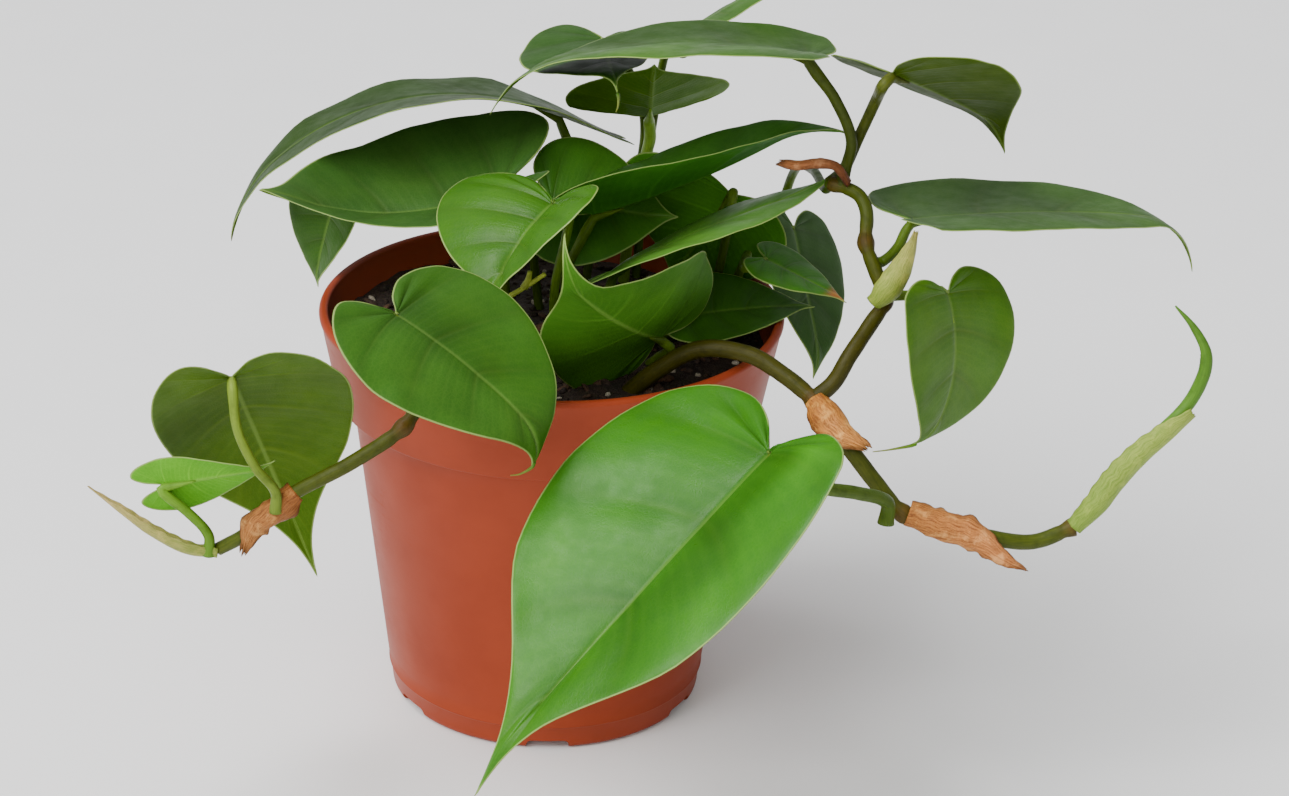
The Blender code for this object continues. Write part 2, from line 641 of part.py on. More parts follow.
def main():
    clear_scene()
    for name in COLOURS:
        make_material(name)
    make_pot()
    make_soil()
    for name, leaf in LEAVES.items():
        make_leaf(name, leaf, bpy.data.materials["leaf"])
    make_rolled_leaf()
    for name, (route, start_radius, end_radius) in VINES.items():
        make_vine(name, route, start_radius, end_radius)
    for leaf_name, route in PETIOLE_ROUTES.items():
        make_petiole(leaf_name, route)
    for name, (route, radii, spans, facing, material) in SHEATHS.items():
        make_sheath(name, route, radii, spans, facing, bpy.data.materials[material])


main()
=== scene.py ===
"""Looks of the potted heart-leaf philodendron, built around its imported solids.

Everything is in the solids' frame: the origin is on the floor on the pot's axis, +Z is up, -Y is the
front and +X is the right-hand side.  Places and sizes are written in millimetres and degrees, and turned
into metres where meshes are made.
"""

import math

import bmesh
import bpy
import numpy as np
from mathutils import Matrix, Vector, noise


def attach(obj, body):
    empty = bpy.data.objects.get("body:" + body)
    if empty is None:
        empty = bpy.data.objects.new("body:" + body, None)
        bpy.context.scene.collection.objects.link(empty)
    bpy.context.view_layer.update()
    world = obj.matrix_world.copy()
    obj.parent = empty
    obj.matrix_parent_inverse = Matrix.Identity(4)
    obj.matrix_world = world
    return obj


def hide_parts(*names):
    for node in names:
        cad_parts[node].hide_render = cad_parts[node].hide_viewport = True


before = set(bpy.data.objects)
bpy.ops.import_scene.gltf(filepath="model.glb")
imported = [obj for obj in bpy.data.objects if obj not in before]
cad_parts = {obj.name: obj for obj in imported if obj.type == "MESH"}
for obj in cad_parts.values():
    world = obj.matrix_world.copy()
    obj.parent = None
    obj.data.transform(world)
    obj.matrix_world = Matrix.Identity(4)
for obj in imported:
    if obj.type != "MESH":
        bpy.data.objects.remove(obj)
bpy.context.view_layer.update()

MM = 0.001
UP = np.array((0.0, 0.0, 1.0))

# The pot, in millimetres.
POT_HEIGHT = 97.0
RIM_RADIUS = 54.0
BAND_HEIGHT = 21.0
BAND_LOWER_RADIUS = 50.0
BODY_UPPER_RADIUS = 46.5
BODY_LOWER_RADIUS = 37.0
SKIRT_HEIGHT = 6.0
WALL = 1.3
FLOOR_THICKNESS = 1.8
DRAIN_COUNT = 6
DRAIN_WIDTH = 10.0
DRAIN_HEIGHT = 2.2
DRAIN_DEPTH = 4.0
DRAIN_FIRST_ANGLE = -87.0

# The soil, in millimetres: its solid's top, how far the loose surface is mounded in the middle, heaped
# above the solid and sloped down to the right, that surface's edge, where its wall ends below, how far
# out its grains lie, and the gap left between neighbouring solids.
SOIL_TOP = 84.0
SOIL_MOUND = 1.5
SOIL_HEAPED = 4.8
SOIL_SLOPE = 1.3
SOIL_EDGE = 48.0
SOIL_FOOT = 70.0
GRAIN_SPREAD = 49.0
GAP = 0.3

# The plant: how thick a blade's solid is, where along the midrib its tip starts to bend, and the place
# along its outline of the first side vein.
BLADE_THICKNESS = 0.7
TIP_BEND_START = 0.72
FIRST_VEIN = 0.42

# What most leaves share.  Their own rows come next.
LEAF_DEFAULTS = dict(
    lobes=(1.0, 1.0, 0), lean=0.0, neck=0.0, stalk=1.1, upper=(0.028, 0.095, 0.006),
    under=(0.062, 0.135, 0.009), young_tip=0.15, patches=(), quilt=0.22, wave=1.0, thickness=0.38,
    rib=0.35, glossy=False, petiole=(0.060, 0.108, 0.007), reach=5.0, tail=None, dry=None,
)
# Shape: base is the joint of blade and petiole.  turn holds the midrib's heading (from +X towards +Y),
# pitch and roll (right side down) there.  bend holds its droop, sway (to the right) and twist, spread
# along it, and how far its last quarter bends down.  cup holds the fold of both halves and how far the
# left and the right one bend on towards their margins.  lobes holds the left and right lobe's size and
# their lift, lean makes the right half wider than the left, and neck narrows the blade before its tip.
# The petiole has a route from its vine or the soil, a radius (stalk), a colour and how far before the
# joint it turns (reach).
# Looks: linear colours above and below, young_tip is how much the tip is paler, the painted patches of light
# and shade are places as (sideways from -1 to 1, lengthwise from 0 to 1, radius, gain, above 1 a painted
# highlight and below 1 painted shade), quilt and wave are the depth of the swells between veins and along the
# margin, tail is the thread at the tip, and dry is where a dry tip starts.
LEAVES = {
    "leaf_front": dict(
        base=(49, -80, 99), turn=(222, -30, 17), length=97, width=67, bend=(13, 11, -34, 23),
        cup=(14, -23, 11), lobes=(0.4, 0.6, -3), lean=0.12, neck=0.6,
        route=((76, -61, 79), (69, -67, 84), (60, -74, 89)), stalk=1.5, upper=(0.03, 0.14, 0.006),
        quilt=0.95, rib=0.5, young_tip=0.3, glossy=True,
        # Painted highlights on the left lobe, the left margin and the right half, and painted shade left of
        # the midrib.
        patches=(
            (-0.25, 0.25, 0.3, 0.72), (0.6, 0.5, 0.45, 1.3),
            (-0.6, -0.02, 0.16, 1.5), (-0.72, 0.38, 0.16, 1.35),
        ),
    ),
    "leaf_front_left": dict(
        base=(-31.2, -66.5, 122.6), turn=(-20, -24, -4), length=47.3, width=51.2, bend=(15, 11, 17, 73),
        cup=(-4, 19, -25), lobes=(0.65, 1.15, 8), lean=-0.15, neck=-0.15,
        route=((-26, -57, 103), (-27, -61, 109)), upper=(0.033, 0.11, 0.008), quilt=0.45,
        # Painted shade near the middle of the blade.
        patches=((-0.2, 0.15, 0.25, 0.8),), tail=(-4.5, -1.0, -1.6),
    ),
    "leaf_left_heart": dict(
        base=(-67, -63, 105), turn=(86, -43, -18), length=74, width=44, bend=(40, 5, -8, 33),
        cup=(-7, -5, -6), lobes=(1.1, 0.85, 1), lean=0.1, neck=0.3,
        route=((-57, -71, 82), (-61, -72, 88), (-65, -70, 96)), upper=(0.035, 0.13, 0.007),
        under=(0.05, 0.112, 0.004), petiole=(0.15, 0.23, 0.025),
    ),
    "leaf_left_new": dict(
        base=(-81.1, -66.7, 80.6), turn=(-7, 17, -78), length=25.5, width=15, bend=(3, -2, 40, -27),
        cup=(0, 0, 0), lobes=(1.5, 1.5, 0), route=((-72, -69, 70), (-76.5, -68.3, 75)),
        upper=(0.07, 0.26, 0.01), under=(0.085, 0.3, 0.012), quilt=0.1, petiole=(0.1, 0.22, 0.016),
        reach=1.0,
    ),
    "leaf_upper_left": dict(
        base=(-12.9, 5.7, 123.5), turn=(187, -25, 1), length=57.9, width=54.9, bend=(-58, -12, -8, 7),
        cup=(15, -4, 6), lobes=(1.2, 1.45, 1), lean=0.15, neck=-0.35, route=((-7, 2, 86), (-11, -1, 104)),
        # Its patch paints shade over the tip half.
        upper=(0.034, 0.1, 0.014), quilt=0.4, patches=((0.0, 0.75, 0.5, 0.85),),
    ),
    "leaf_arching": dict(
        base=(0, 31, 132.8), turn=(179, 22, 17), length=95, width=47, bend=(84, 1, -18, 19), cup=(2, 6, 0),
        route=((7, 28, 86), (8, 33, 112)), upper=(0.016, 0.046, 0.002), under=(0.045, 0.095, 0.006),
    ),
    "leaf_hanging_left": dict(
        base=(-52.2, 21.5, 113.6), turn=(226, -66, 4), length=21.8, width=25.5, bend=(12, 0, 12, 12),
        cup=(8, 0, 4), lobes=(0.35, 0.35, 0), lean=0.1,
        route=((-15, 20, 86), (-24, 25, 104), (-37, 27, 114)), upper=(0.022, 0.07, 0.003),
    ),
    "leaf_centre_glossy": dict(
        base=(0.4, -21.1, 130.8), turn=(234, -15, 13), length=30.5, width=42.3, bend=(34, -3, 0, -5),
        cup=(22, -16, -19), lobes=(0.95, 0.95, -3), lean=0.25, neck=-0.1,
        route=((1, -8, 86), (1, -15, 108)), petiole=(0.09, 0.17, 0.012), upper=(0.034, 0.12, 0.005),
        quilt=0.65, young_tip=0.25, glossy=True,
    ),
    "leaf_top_long": dict(
        base=(56, -2, 161.4), turn=(172, 6, 21), length=77.9, width=49.9, bend=(31, 3, -10, 40),
        cup=(3, -18, 21), lobes=(0.4, 0.4, 2), neck=0.25,
        route=((66, -3, 134), (67, -4, 142), (63, -3, 151)), stalk=1.3, petiole=(0.05, 0.07, 0.008),
        # Its patches paint light on the left half and shade on the right half.
        upper=(0.032, 0.092, 0.008), patches=((-0.6, 0.5, 0.6, 1.5), (0.6, 0.5, 0.6, 0.7)),
    ),
    "leaf_top_small": dict(
        base=(10, 32.6, 151.3), turn=(-86, 5, 2), length=48, width=30, bend=(-4, -2, 2, 26),
        cup=(-3, 0, -7), lobes=(0.6, 1.4, 8), lean=0.35, neck=0.85,
        route=((16, 41, 86), (18.2, 44, 108), (20, 43.5, 127), (15, 40, 143)), upper=(0.022, 0.07, 0.007),
        tail=(-0.5, -0.5, -3.0),
    ),
    "leaf_topmost": dict(
        base=(29.5, 36, 153.3), turn=(4, 33, -13), length=38, width=23, bend=(5, -2, 6, 8),
        cup=(-7, 1, -4), lean=-0.05,
        route=((19, 40.5, 86), (20.5, 48, 108), (22.5, 50, 128), (25, 46, 145)), upper=(0.04, 0.11, 0.012),
    ),
    "leaf_raised": dict(
        base=(21, 36.7, 131.2), turn=(-87, 40, 6), length=26.5, width=40, bend=(-14, -1, -6, 0),
        cup=(12, 3, 0), lobes=(0.25, 0.25, 1), route=((16, 36, 86), (18, 39, 110)), stalk=1.4,
        upper=(0.03, 0.1, 0.006), under=(0.07, 0.165, 0.009), petiole=(0.15, 0.26, 0.03),
    ),
    "leaf_centre_back": dict(
        base=(-1, 13, 118.4), turn=(0, -10, 42), length=30, width=34, bend=(-10, -1, -4, -9),
        cup=(5, -4, 0), lobes=(1.0, 1.0, 3), route=((-3, 14, 86), (-5, 14, 104)),
        upper=(0.042, 0.15, 0.01),
    ),
    "leaf_folded": dict(
        base=(9.2, -4.4, 122.2), turn=(8, 15, -22), length=62.1, width=44.4, bend=(-18, 1, 17, 48),
        cup=(23, -9, -3), lobes=(1.0, 0.95, -2), neck=0.05, route=((5, -3, 86), (3, -5, 106)),
        upper=(0.034, 0.125, 0.012), under=(0.03, 0.15, 0.007),
    ),
    "leaf_inner_long": dict(
        base=(14, -16, 113), turn=(18, 24, -25), length=57, width=45, bend=(13, -3, 20, -21),
        cup=(-1, -6, 4), lobes=(1.0, 1.0, 3), lean=-0.05, neck=-0.05,
        route=((11, -12, 86), (11, -17, 101)), upper=(0.07, 0.2, 0.02), quilt=0.35,
    ),
    "leaf_inner_upright": dict(
        base=(25, -21, 99), turn=(246, 26, 53), length=61, width=44, bend=(-18, -7, -42, -83),
        cup=(3, 32, -6), lobes=(1.0, 0.4, -2), lean=-0.05, neck=0.6, route=((22, -10, 86), (25, -16, 92)),
        upper=(0.035, 0.13, 0.01), under=(0.045, 0.15, 0.009),
    ),
    "leaf_inner_shaded": dict(
        base=(41, 22.5, 117.5), turn=(142, -56, 65), length=34, width=44, bend=(-6, 4, 11, 17),
        cup=(-10, -6, -8), lobes=(0.5, 0.7, 0), lean=-0.15, neck=0.3, route=((36, 20, 86), (39, 18, 101)),
        # Its colours are raised well above the other blades' to make up for the shade it lies in: painted
        # light.
        upper=(0.06, 0.24, 0.01), under=(0.055, 0.22, 0.01),
    ),
    "leaf_low_shaded": dict(
        base=(31, -3, 97), turn=(12, 5, 14), length=31, width=28, bend=(7, 1, -7, 4), cup=(6, 0, 3),
        lean=-0.05, route=((26, 3, 86), (27, 0, 91)), upper=(0.03, 0.11, 0.006),
    ),
    "leaf_dry_tip": dict(
        base=(49, -6, 113), turn=(-19, -19, 2), length=21, width=20, bend=(2, 0, -9, 6), cup=(0, 1, -2),
        route=((39, 17, 86), (45, 14, 105)), upper=(0.042, 0.165, 0.009), dry=0.72,
    ),
    "leaf_hanging_right": dict(
        base=(56.7, 36.5, 103.8), turn=(-70, -51, -35), length=37.7, width=30.6, bend=(2, -2, 9, 36),
        cup=(0, -1, -4), lobes=(0.75, 1.0, -1), lean=-0.1,
        route=((62, 1, 128), (60, 20, 125), (57, 38, 119), (55, 44, 111)), upper=(0.024, 0.072, 0.009),
    ),
    "leaf_right_long": dict(
        base=(81, -16, 128), turn=(19, 0, -14), length=78, width=44, bend=(12, 2, 12, 70), cup=(1, 15, -5),
        lobes=(0.3, 0.4, 12), lean=-0.15, neck=0.05, route=((75, -17, 118), (78, -18, 122)),
        upper=(0.04, 0.105, 0.014),
    ),
    "leaf_upper_right": dict(
        base=(75, -9, 160), turn=(45, -26, -13), length=49, width=40, bend=(8, 2, 1, 45), cup=(9, -2, 5),
        lobes=(1.05, 0.8, 1), lean=0.15, neck=0.25, route=((66, 1, 133), (69, -1, 142), (72, -5, 152)),
        stalk=1.3, upper=(0.03, 0.09, 0.006), under=(0.044, 0.084, 0.004), petiole=(0.055, 0.07, 0.008),
    ),
    "leaf_right_heart": dict(
        base=(89, -27, 115), turn=(-56, -56, -25), length=40, width=41, bend=(63, 2, 10, 25),
        cup=(-1, 15, -4), lobes=(0.7, 0.5, -1), lean=-0.1, route=((80, -27, 114), (84, -26, 114)),
        upper=(0.048, 0.13, 0.005), young_tip=0.3, petiole=(0.12, 0.2, 0.02),
        # Its patch paints light on the left half.
        patches=((-0.6, 0.3, 0.5, 1.25),), tail=(-8.5, 0.0, -1.8),
    ),
}

# Half of a heart-shaped blade, from the joint round one lobe to the tip, as shares of its half width and
# of its length.
HALF_OUTLINE = (
    (0.0, 0.0), (0.08, -0.05), (0.22, -0.13), (0.42, -0.185), (0.62, -0.17), (0.82, -0.1), (0.95, 0.01),
    (1.0, 0.14), (0.97, 0.28), (0.87, 0.42), (0.71, 0.56), (0.5, 0.69), (0.28, 0.8), (0.115, 0.885),
    (0.04, 0.945), (0.0, 1.0),
)

# The three vines: route, radius at the start and at the end, and the nodes, which are swollen, browner
# rings.
VINES = {
    "vine_right": (
        (
            (17, -26, 86), (24, -29, 94), (34, -31, 101), (45, -33, 101), (53, -37, 98), (60, -42, 94),
            (66, -50, 89), (74, -54, 80), (80, -56, 74), (88, -57, 72), (98, -58, 70), (109, -56, 68),
            (118, -54, 71),
        ),
        2.1, 1.7, ((60, -42, 94), (80, -56, 74), (118, -54, 71)),
    ),
    "vine_left": (
        (
            (-8, -32, 86), (-14, -40, 95), (-21, -49, 101), (-26, -57, 99), (-30, -62, 94), (-41, -66, 87),
            (-55, -68, 79), (-63, -69, 71), (-70, -68, 66),
        ),
        1.8, 1.5, ((-30, -62, 94), (-61, -69, 74)),
    ),
    "vine_branch": (
        (
            (64, -40, 98), (67, -38, 103), (72, -32, 109), (75, -28, 113), (73, -20, 117), (71, -14, 121),
            (71, -10, 127), (69, -7, 130), (63, -3, 131),
        ),
        1.9, 1.5, ((75, -28, 113), (71, -14, 121), (64, -3, 131)),
    ),
}
VINE_OLIVE = (0.036, 0.034, 0.003)
VINE_GREEN = (0.050, 0.068, 0.006)
NODE_BROWN = (0.075, 0.032, 0.008)

# The sheaths left round the nodes: route, radius and open span in degrees at each point, the way that
# the middle of the sheath faces, its slot, its colours at its foot and at its torn end, and how far the
# end is torn.
SHEATHS = {
    "sheath_right_first": (
        ((60, -42, 94), (63, -46, 91.5), (66, -50, 89), (71, -53, 87)), (3.3, 3.4, 3.1, 1.8),
        (200, 220, 170, 60), (0, -0.4, 1), 'sheath_dry', ((0.42, 0.145, 0.018), (0.66, 0.27, 0.06)), 2.6,
    ),
    "sheath_right_second": (
        ((81, -56, 74), (88, -57, 72), (96, -58, 70), (102, -61, 67), (107, -63, 65)),
        (3.0, 3.0, 3.1, 2.3, 0.8), (220, 230, 200, 120, 60), (0, -1, 0.2), 'sheath_dry',
        ((0.44, 0.16, 0.03), (0.6, 0.22, 0.06)), 3.0,
    ),
    "sheath_left": (
        ((-53, -67, 80), (-58, -69, 76), (-62, -69, 72), (-64, -71, 67)), (2.7, 2.7, 2.5, 1.2),
        (180, 180, 160, 60), (0, -1, 0.3), 'sheath_dry', ((0.34, 0.11, 0.02), (0.42, 0.17, 0.04)), 2.2,
    ),
    "sheath_branch_ribbon": (
        ((66, -6, 132), (63, -7, 136), (59, -8, 137), (55, -7, 136), (51, -6, 136)),
        (1.8, 1.6, 1.4, 1.4, 1.2), (120, 130, 140, 150, 100), (0, -0.4, 1), 'sheath_dry',
        ((0.2, 0.06, 0.02), (0.42, 0.15, 0.045)), 1.6,
    ),
    "sheath_branch_green": (
        ((72.5, -30.5, 114), (74.5, -31, 116.5), (77, -30, 120.5), (79, -29, 125.5), (80.5, -28, 130)),
        (2.6, 3.2, 2.9, 2.0, 0.7), (180, 200, 190, 150, 80), (0.5, -1, -0.4), 'sheath_fresh',
        ((0.24, 0.32, 0.04), (0.4, 0.36, 0.09)), 0.8,
    ),
    "sheath_left_end": (
        ((-70, -68, 66), (-76, -68, 67), (-84, -66, 70), (-92, -63, 74), (-99, -60, 77)),
        (2.2, 2.3, 2.1, 1.6, 0.6), (200, 190, 180, 160, 80), (-0.3, -0.4, -1), 'sheath_pale',
        ((0.22, 0.27, 0.04), (0.5, 0.36, 0.13)), 0.5,
    ),
    "sheath_right_end": (
        ((118, -54, 71), (122, -53, 76), (126, -51, 82), (131, -50, 88), (137, -48, 93), (142, -46, 97)),
        (2.4, 2.9, 3.2, 3.0, 2.7, 2.2), (300, 260, 240, 240, 220, 140), (0.8, -0.6, -0.6), 'sheath_fresh',
        ((0.2, 0.3, 0.035), (0.34, 0.42, 0.07)), 1.0,
    ),
}

ROLLED_LEAF_ROUTE = (
    (126, -51, 82), (131, -50, 88), (137, -48, 93), (142, -46, 98), (145, -45, 105), (145, -44, 110),
    (142, -42, 115), (138, -40, 119),
)
ROLLED_LEAF_RADII = (1.2, 1.3, 1.4, 1.5, 1.5, 1.4, 0.9, 0.2)

# The cut shoot, as two short routes.
STUBS = (
    ((-17, -19, 88), (-14, -20.5, 101), (-9.5, -22, 108), (-5.5, -22, 111), (-1.1, -22, 114.3)),
    ((-5.8, -22, 110.8), (-4.9, -22.1, 112.8), (-4.5, -22.2, 114.9)),
)

# How finely a blade is built: steps along its midrib, and rows, segments and veins on each side of it.
FRAME_STEPS = 96
BLADE_ROWS = 56
BLADE_SEGMENTS = 18
VEINS_PER_SIDE = 7
POT_SIDES = 192

CAMERA_TARGET = (22.1, 0.0, 74.3)
CAMERA_ELEVATION = 24.7
CAMERA_DISTANCE = 841.45
CAMERA_ROLL = 1.81
CAMERA_LENS = 100.0


# Small helpers


def unit(vectors):
    vectors = np.asarray(vectors, float)
    return vectors / np.maximum(np.linalg.norm(vectors, axis=-1, keepdims=True), 1e-12)


def smooth_step(values, start=0.0, end=1.0):
    t = np.clip((np.asarray(values, float) - start) / (end - start), 0.0, 1.0)
    return t * t * (3.0 - 2.0 * t)


def turned(vector, axis, angle):
    return np.array(Matrix.Rotation(angle, 3, Vector(axis)) @ Vector(vector))


def blend_values(values, shares):
    """The values of an even list at these shares of the way along it."""
    return np.interp(shares, np.linspace(0.0, 1.0, len(values)), values)


def curve_points(points, positions):
    """Points of the smooth curve through the points; positions run from 0 to len(points) - 1."""
    points = np.asarray(points, float)
    last = len(points) - 1
    positions = np.asarray(positions, float)
    index = np.minimum(positions.astype(int), last - 1)
    t = (positions - index)[:, None]
    before, start = points[np.maximum(index - 1, 0)], points[index]
    end, after = points[index + 1], points[np.minimum(index + 2, last)]
    span = np.linalg.norm(end - start, axis=1, keepdims=True)
    span_before = np.linalg.norm(start - before, axis=1, keepdims=True)
    span_after = np.linalg.norm(after - end, axis=1, keepdims=True)
    leave = (end - before) * (span / (span_before + span))
    arrive = (after - start) * (span / (span_after + span))
    return (
        start * (2.0 * t ** 3 - 3.0 * t ** 2 + 1.0)
        + leave * (t ** 3 - 2.0 * t ** 2 + t)
        + end * (3.0 * t ** 2 - 2.0 * t ** 3)
        + arrive * (t ** 3 - t ** 2)
    )


def smooth_route(points, step):
    """Points at about one step apart along the smooth curve, with each one's distance and share."""
    points = np.asarray(points, float)
    spans = np.linalg.norm(np.diff(points, axis=0), axis=1)
    reached = np.concatenate(([0.0], np.cumsum(spans)))
    count = max(2, round(reached[-1] / step))
    distances = np.linspace(0.0, reached[-1], count + 1)
    positions = np.interp(distances, reached, np.arange(len(points)))
    return curve_points(points, positions), distances, distances / reached[-1]


def noise_at(places, scale, seed=0.0, octaves=1):
    """Smooth noise from -1 to 1 at each place, with features of about this size in millimetres."""
    flat = np.asarray(places, float).reshape(-1, 3)
    total = np.zeros(len(flat))
    weight, full = 1.0, 0.0
    for octave in range(octaves):
        size = scale / 2.0 ** octave
        shift = Vector((seed * 17.3 + octave * 5.1, seed * 7.9, -seed * 11.7))
        total += weight * np.array([noise.noise(Vector(p / size) + shift) for p in flat])
        full += weight
        weight *= 0.5
    return (total / full).reshape(np.asarray(places).shape[:-1])


def normals_of(vertices, faces):
    """Smooth normals of a mesh of triangles and quads."""
    corners = np.array([(*face, face[-1])[:4] for face in faces])
    first, second, third, fourth = (vertices[corners[:, k]] for k in range(4))
    across = np.cross(third - first, fourth - second)
    normals = np.zeros_like(vertices)
    for k in range(4):
        np.add.at(normals, corners[:, k], across)
    return unit(normals)


def strip_faces(rows, columns, closed=True):
    """Quads between the neighbouring rows of a grid, whose rows are rings or open lines."""
    faces = []
    for row in range(rows - 1):
        low, high = row * columns, (row + 1) * columns
        for k in range(columns if closed else columns - 1):
            following = (k + 1) % columns
            faces.append([low + k, low + following, high + following, high + k])
    return faces


def full_turn(sides):
    return np.linspace(0.0, 2.0 * math.pi, sides, endpoint=False)


def add_object(name, data):
    """A new object in the scene's collection."""
    found = bpy.data.objects.new(name, data)
    bpy.context.scene.collection.objects.link(found)
    return found


def finished_mesh(name, bm):
    mesh = bpy.data.meshes.new(name)
    bm.to_mesh(mesh)
    bm.free()
    return mesh


def make_mesh(name, vertices, faces, materials, material_index=None, uv=None, **attributes):
    """A smooth-shaded object, from vertices in millimetres, with its point attributes."""
    mesh = bpy.data.meshes.new(name)
    mesh.from_pydata([tuple(v) for v in np.asarray(vertices, float) * MM], [], faces)
    for material in materials:
        mesh.materials.append(material)
    if material_index is not None:
        mesh.polygons.foreach_set("material_index", material_index)
    for key, values in attributes.items():
        values = np.asarray(values, float)
        if values.ndim == 1:
            layer = mesh.attributes.new(key, "FLOAT", "POINT")
            layer.data.foreach_set("value", values)
        else:
            layer = mesh.attributes.new(key, "FLOAT_COLOR", "POINT")
            layer.data.foreach_set("color", np.column_stack((values, np.ones(len(values)))).ravel())
    if uv is not None:
        layer = mesh.uv_layers.new(name="surface")
        corners = np.empty(len(mesh.loops), np.int32)
        mesh.loops.foreach_get("vertex_index", corners)
        layer.data.foreach_set("uv", np.asarray(uv, float)[corners].ravel())
    mesh.validate()
    mesh.shade_smooth()
    return add_object(name, mesh)


def place(piece, slot, *nodes):
    """The piece rides on the plant and stands for these solids, which are hidden; the slot is not used."""
    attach(piece, "root")
    if nodes:
        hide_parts(*nodes)
    return piece


# Leaf blades


def midrib_frames(leaf):
    """Points, and the ways along, across (to the right) and up from the blade, from joint to tip."""
    heading, pitch, roll = map(math.radians, leaf["turn"])
    droop, sway, twist, tip = leaf["bend"]
    level = math.cos(pitch)
    along = np.array((math.cos(heading) * level, math.sin(heading) * level, math.sin(pitch)))
    across = turned(unit(np.cross(along, UP)), along, roll)
    face = np.cross(across, along)
    point = np.array(leaf["base"], float)
    rows = [(point, along, across, face)]
    for step in range(FRAME_STEPS):
        in_tip = (step + 0.5) / FRAME_STEPS >= TIP_BEND_START
        tip_share = 1.0 / ((1.0 - TIP_BEND_START) * FRAME_STEPS) if in_tip else 0.0
        down = -math.radians(droop / FRAME_STEPS + tip * tip_share)
        along, face = turned(along, across, down), turned(face, across, down)
        right = -math.radians(sway / FRAME_STEPS)
        along, across = turned(along, face, right), turned(across, face, right)
        turn = math.radians(twist / FRAME_STEPS)
        across, face = turned(across, along, turn), turned(face, along, turn)
        point = point + along * (leaf["length"] / FRAME_STEPS)
        rows.append((point, along, across, face))
    return [np.array(column) for column in zip(*rows)]


def blade_places(leaf, x, y, side):
    """Where the flat blade's points (x of the half width, y of the length) lie on the bent blade."""
    half_width = leaf["width"] / 2.0 * (1.0 + side * leaf["lean"])
    frames = leaf["frames"]
    left_lobe, right_lobe, lobe_lift = leaf["lobes"]
    fold, left_curl, right_curl = map(math.radians, leaf["cup"])
    y = np.where(y < 0.0, y * (right_lobe if side > 0 else left_lobe), y)
    reach = x * half_width * (1.0 - leaf["neck"] * smooth_step(y, 0.5, 0.9))
    position = np.clip(y, 0.0, 1.0) * FRAME_STEPS
    index = np.minimum(position.astype(int), FRAME_STEPS - 1)
    part = (position - index)[..., None]
    point, _, across, face = (f[index] + (f[index + 1] - f[index]) * part for f in frames)
    lift = math.radians(lobe_lift)
    backward = frames[3][0] * math.sin(lift) - frames[1][0] * math.cos(lift)
    point = point + np.maximum(-y, 0.0)[..., None] * leaf["length"] * backward
    bend = (right_curl if side > 0 else left_curl) / half_width
    if abs(bend) < 1e-6:
        outward, upward = reach * math.cos(fold), reach * math.sin(fold)
    else:
        outward = (np.sin(fold + bend * reach) - math.sin(fold)) / bend
        upward = (math.cos(fold) - np.cos(fold + bend * reach)) / bend
    return point + unit(across) * (side * outward)[..., None] + unit(face) * upward[..., None]


def outline_places(shares):
    points = [(x, y, 0.0) for x, y in HALF_OUTLINE]
    found = curve_points(points, np.asarray(shares) * (len(HALF_OUTLINE) - 1))
    return np.maximum(found[:, 0], 0.0), found[:, 1]


def vein_places(shares, reaches):
    """Points on the curved veins from the midrib (reach 0) to the margin (reach 1), on a grid."""
    edge_x, edge_y = (values[:, None] for values in outline_places(shares))
    start_y = np.maximum(0.0, (shares - FIRST_VEIN) / (1.0 - FIRST_VEIN))[:, None] ** 1.15
    middle_y = start_y * 0.55 + edge_y * 0.45 - 0.04 * smooth_step(shares, 0.25, 0.4)[:, None]
    reaches = reaches[None, :]
    x = reaches * (1.0 - reaches) * edge_x + reaches ** 2 * edge_x
    y = (1.0 - reaches) ** 2 * start_y + 2.0 * reaches * (1.0 - reaches) * middle_y + reaches ** 2 * edge_y
    return x, y


def blade_grid(leaf):
    """The blade's middle surface: vertices with their flat places, rows and reaches, faces and rim."""
    shares = np.linspace(0.0, 1.0, BLADE_ROWS + 1)
    even = np.linspace(0.0, 1.0, BLADE_SEGMENTS + 1)
    reaches = 0.6 * even + 0.4 * (0.5 - 0.5 * np.cos(math.pi * even))
    x, y = vein_places(shares, reaches)
    places = {side: blade_places(leaf, x, y, side) for side in (1, -1)}
    vertices, flat, info, faces, index_of = [], [], [], [], {}

    def vertex(side, row, segment):
        if row == 0 or segment == 0 and y[row, 0] == 0.0:
            key = "joint"
        elif row == BLADE_ROWS:
            key = "tip"
        else:
            key = (0 if segment == 0 else side, row, segment)
        if key not in index_of:
            index_of[key] = len(vertices)
            at_joint = key == "joint"
            vertices.append(leaf["frames"][0][0] if at_joint else places[side][row, segment])
            place_x, place_y = (0.0, 0.0) if at_joint else (x[row, segment], y[row, segment])
            flat.append((side * place_x * leaf["width"] / 2.0, place_y * leaf["length"]))
            info.append((shares[row], 0.0 if at_joint else reaches[segment], side))
        return index_of[key]

    rim = []
    for side in (1, -1):
        for row in range(BLADE_ROWS):
            for segment in range(BLADE_SEGMENTS):
                corners = [
                    vertex(side, row, segment), vertex(side, row, segment + 1),
                    vertex(side, row + 1, segment + 1), vertex(side, row + 1, segment),
                ]
                corners = [corner for k, corner in enumerate(corners) if corner not in corners[:k]]
                if len(corners) > 2:
                    faces.append(corners if side > 0 else corners[::-1])
        edge = [vertex(side, row, BLADE_SEGMENTS) for row in range(BLADE_ROWS + 1)]
        rim += edge[:-1] if side > 0 else edge[:0:-1]
    return np.array(vertices), np.array(flat), np.array(info), faces, rim


def to_vein(row):
    """1 on a side vein and 0 midway between two."""
    return np.abs(((row * VEINS_PER_SIDE) % 1.0) - 0.5) * 2.0


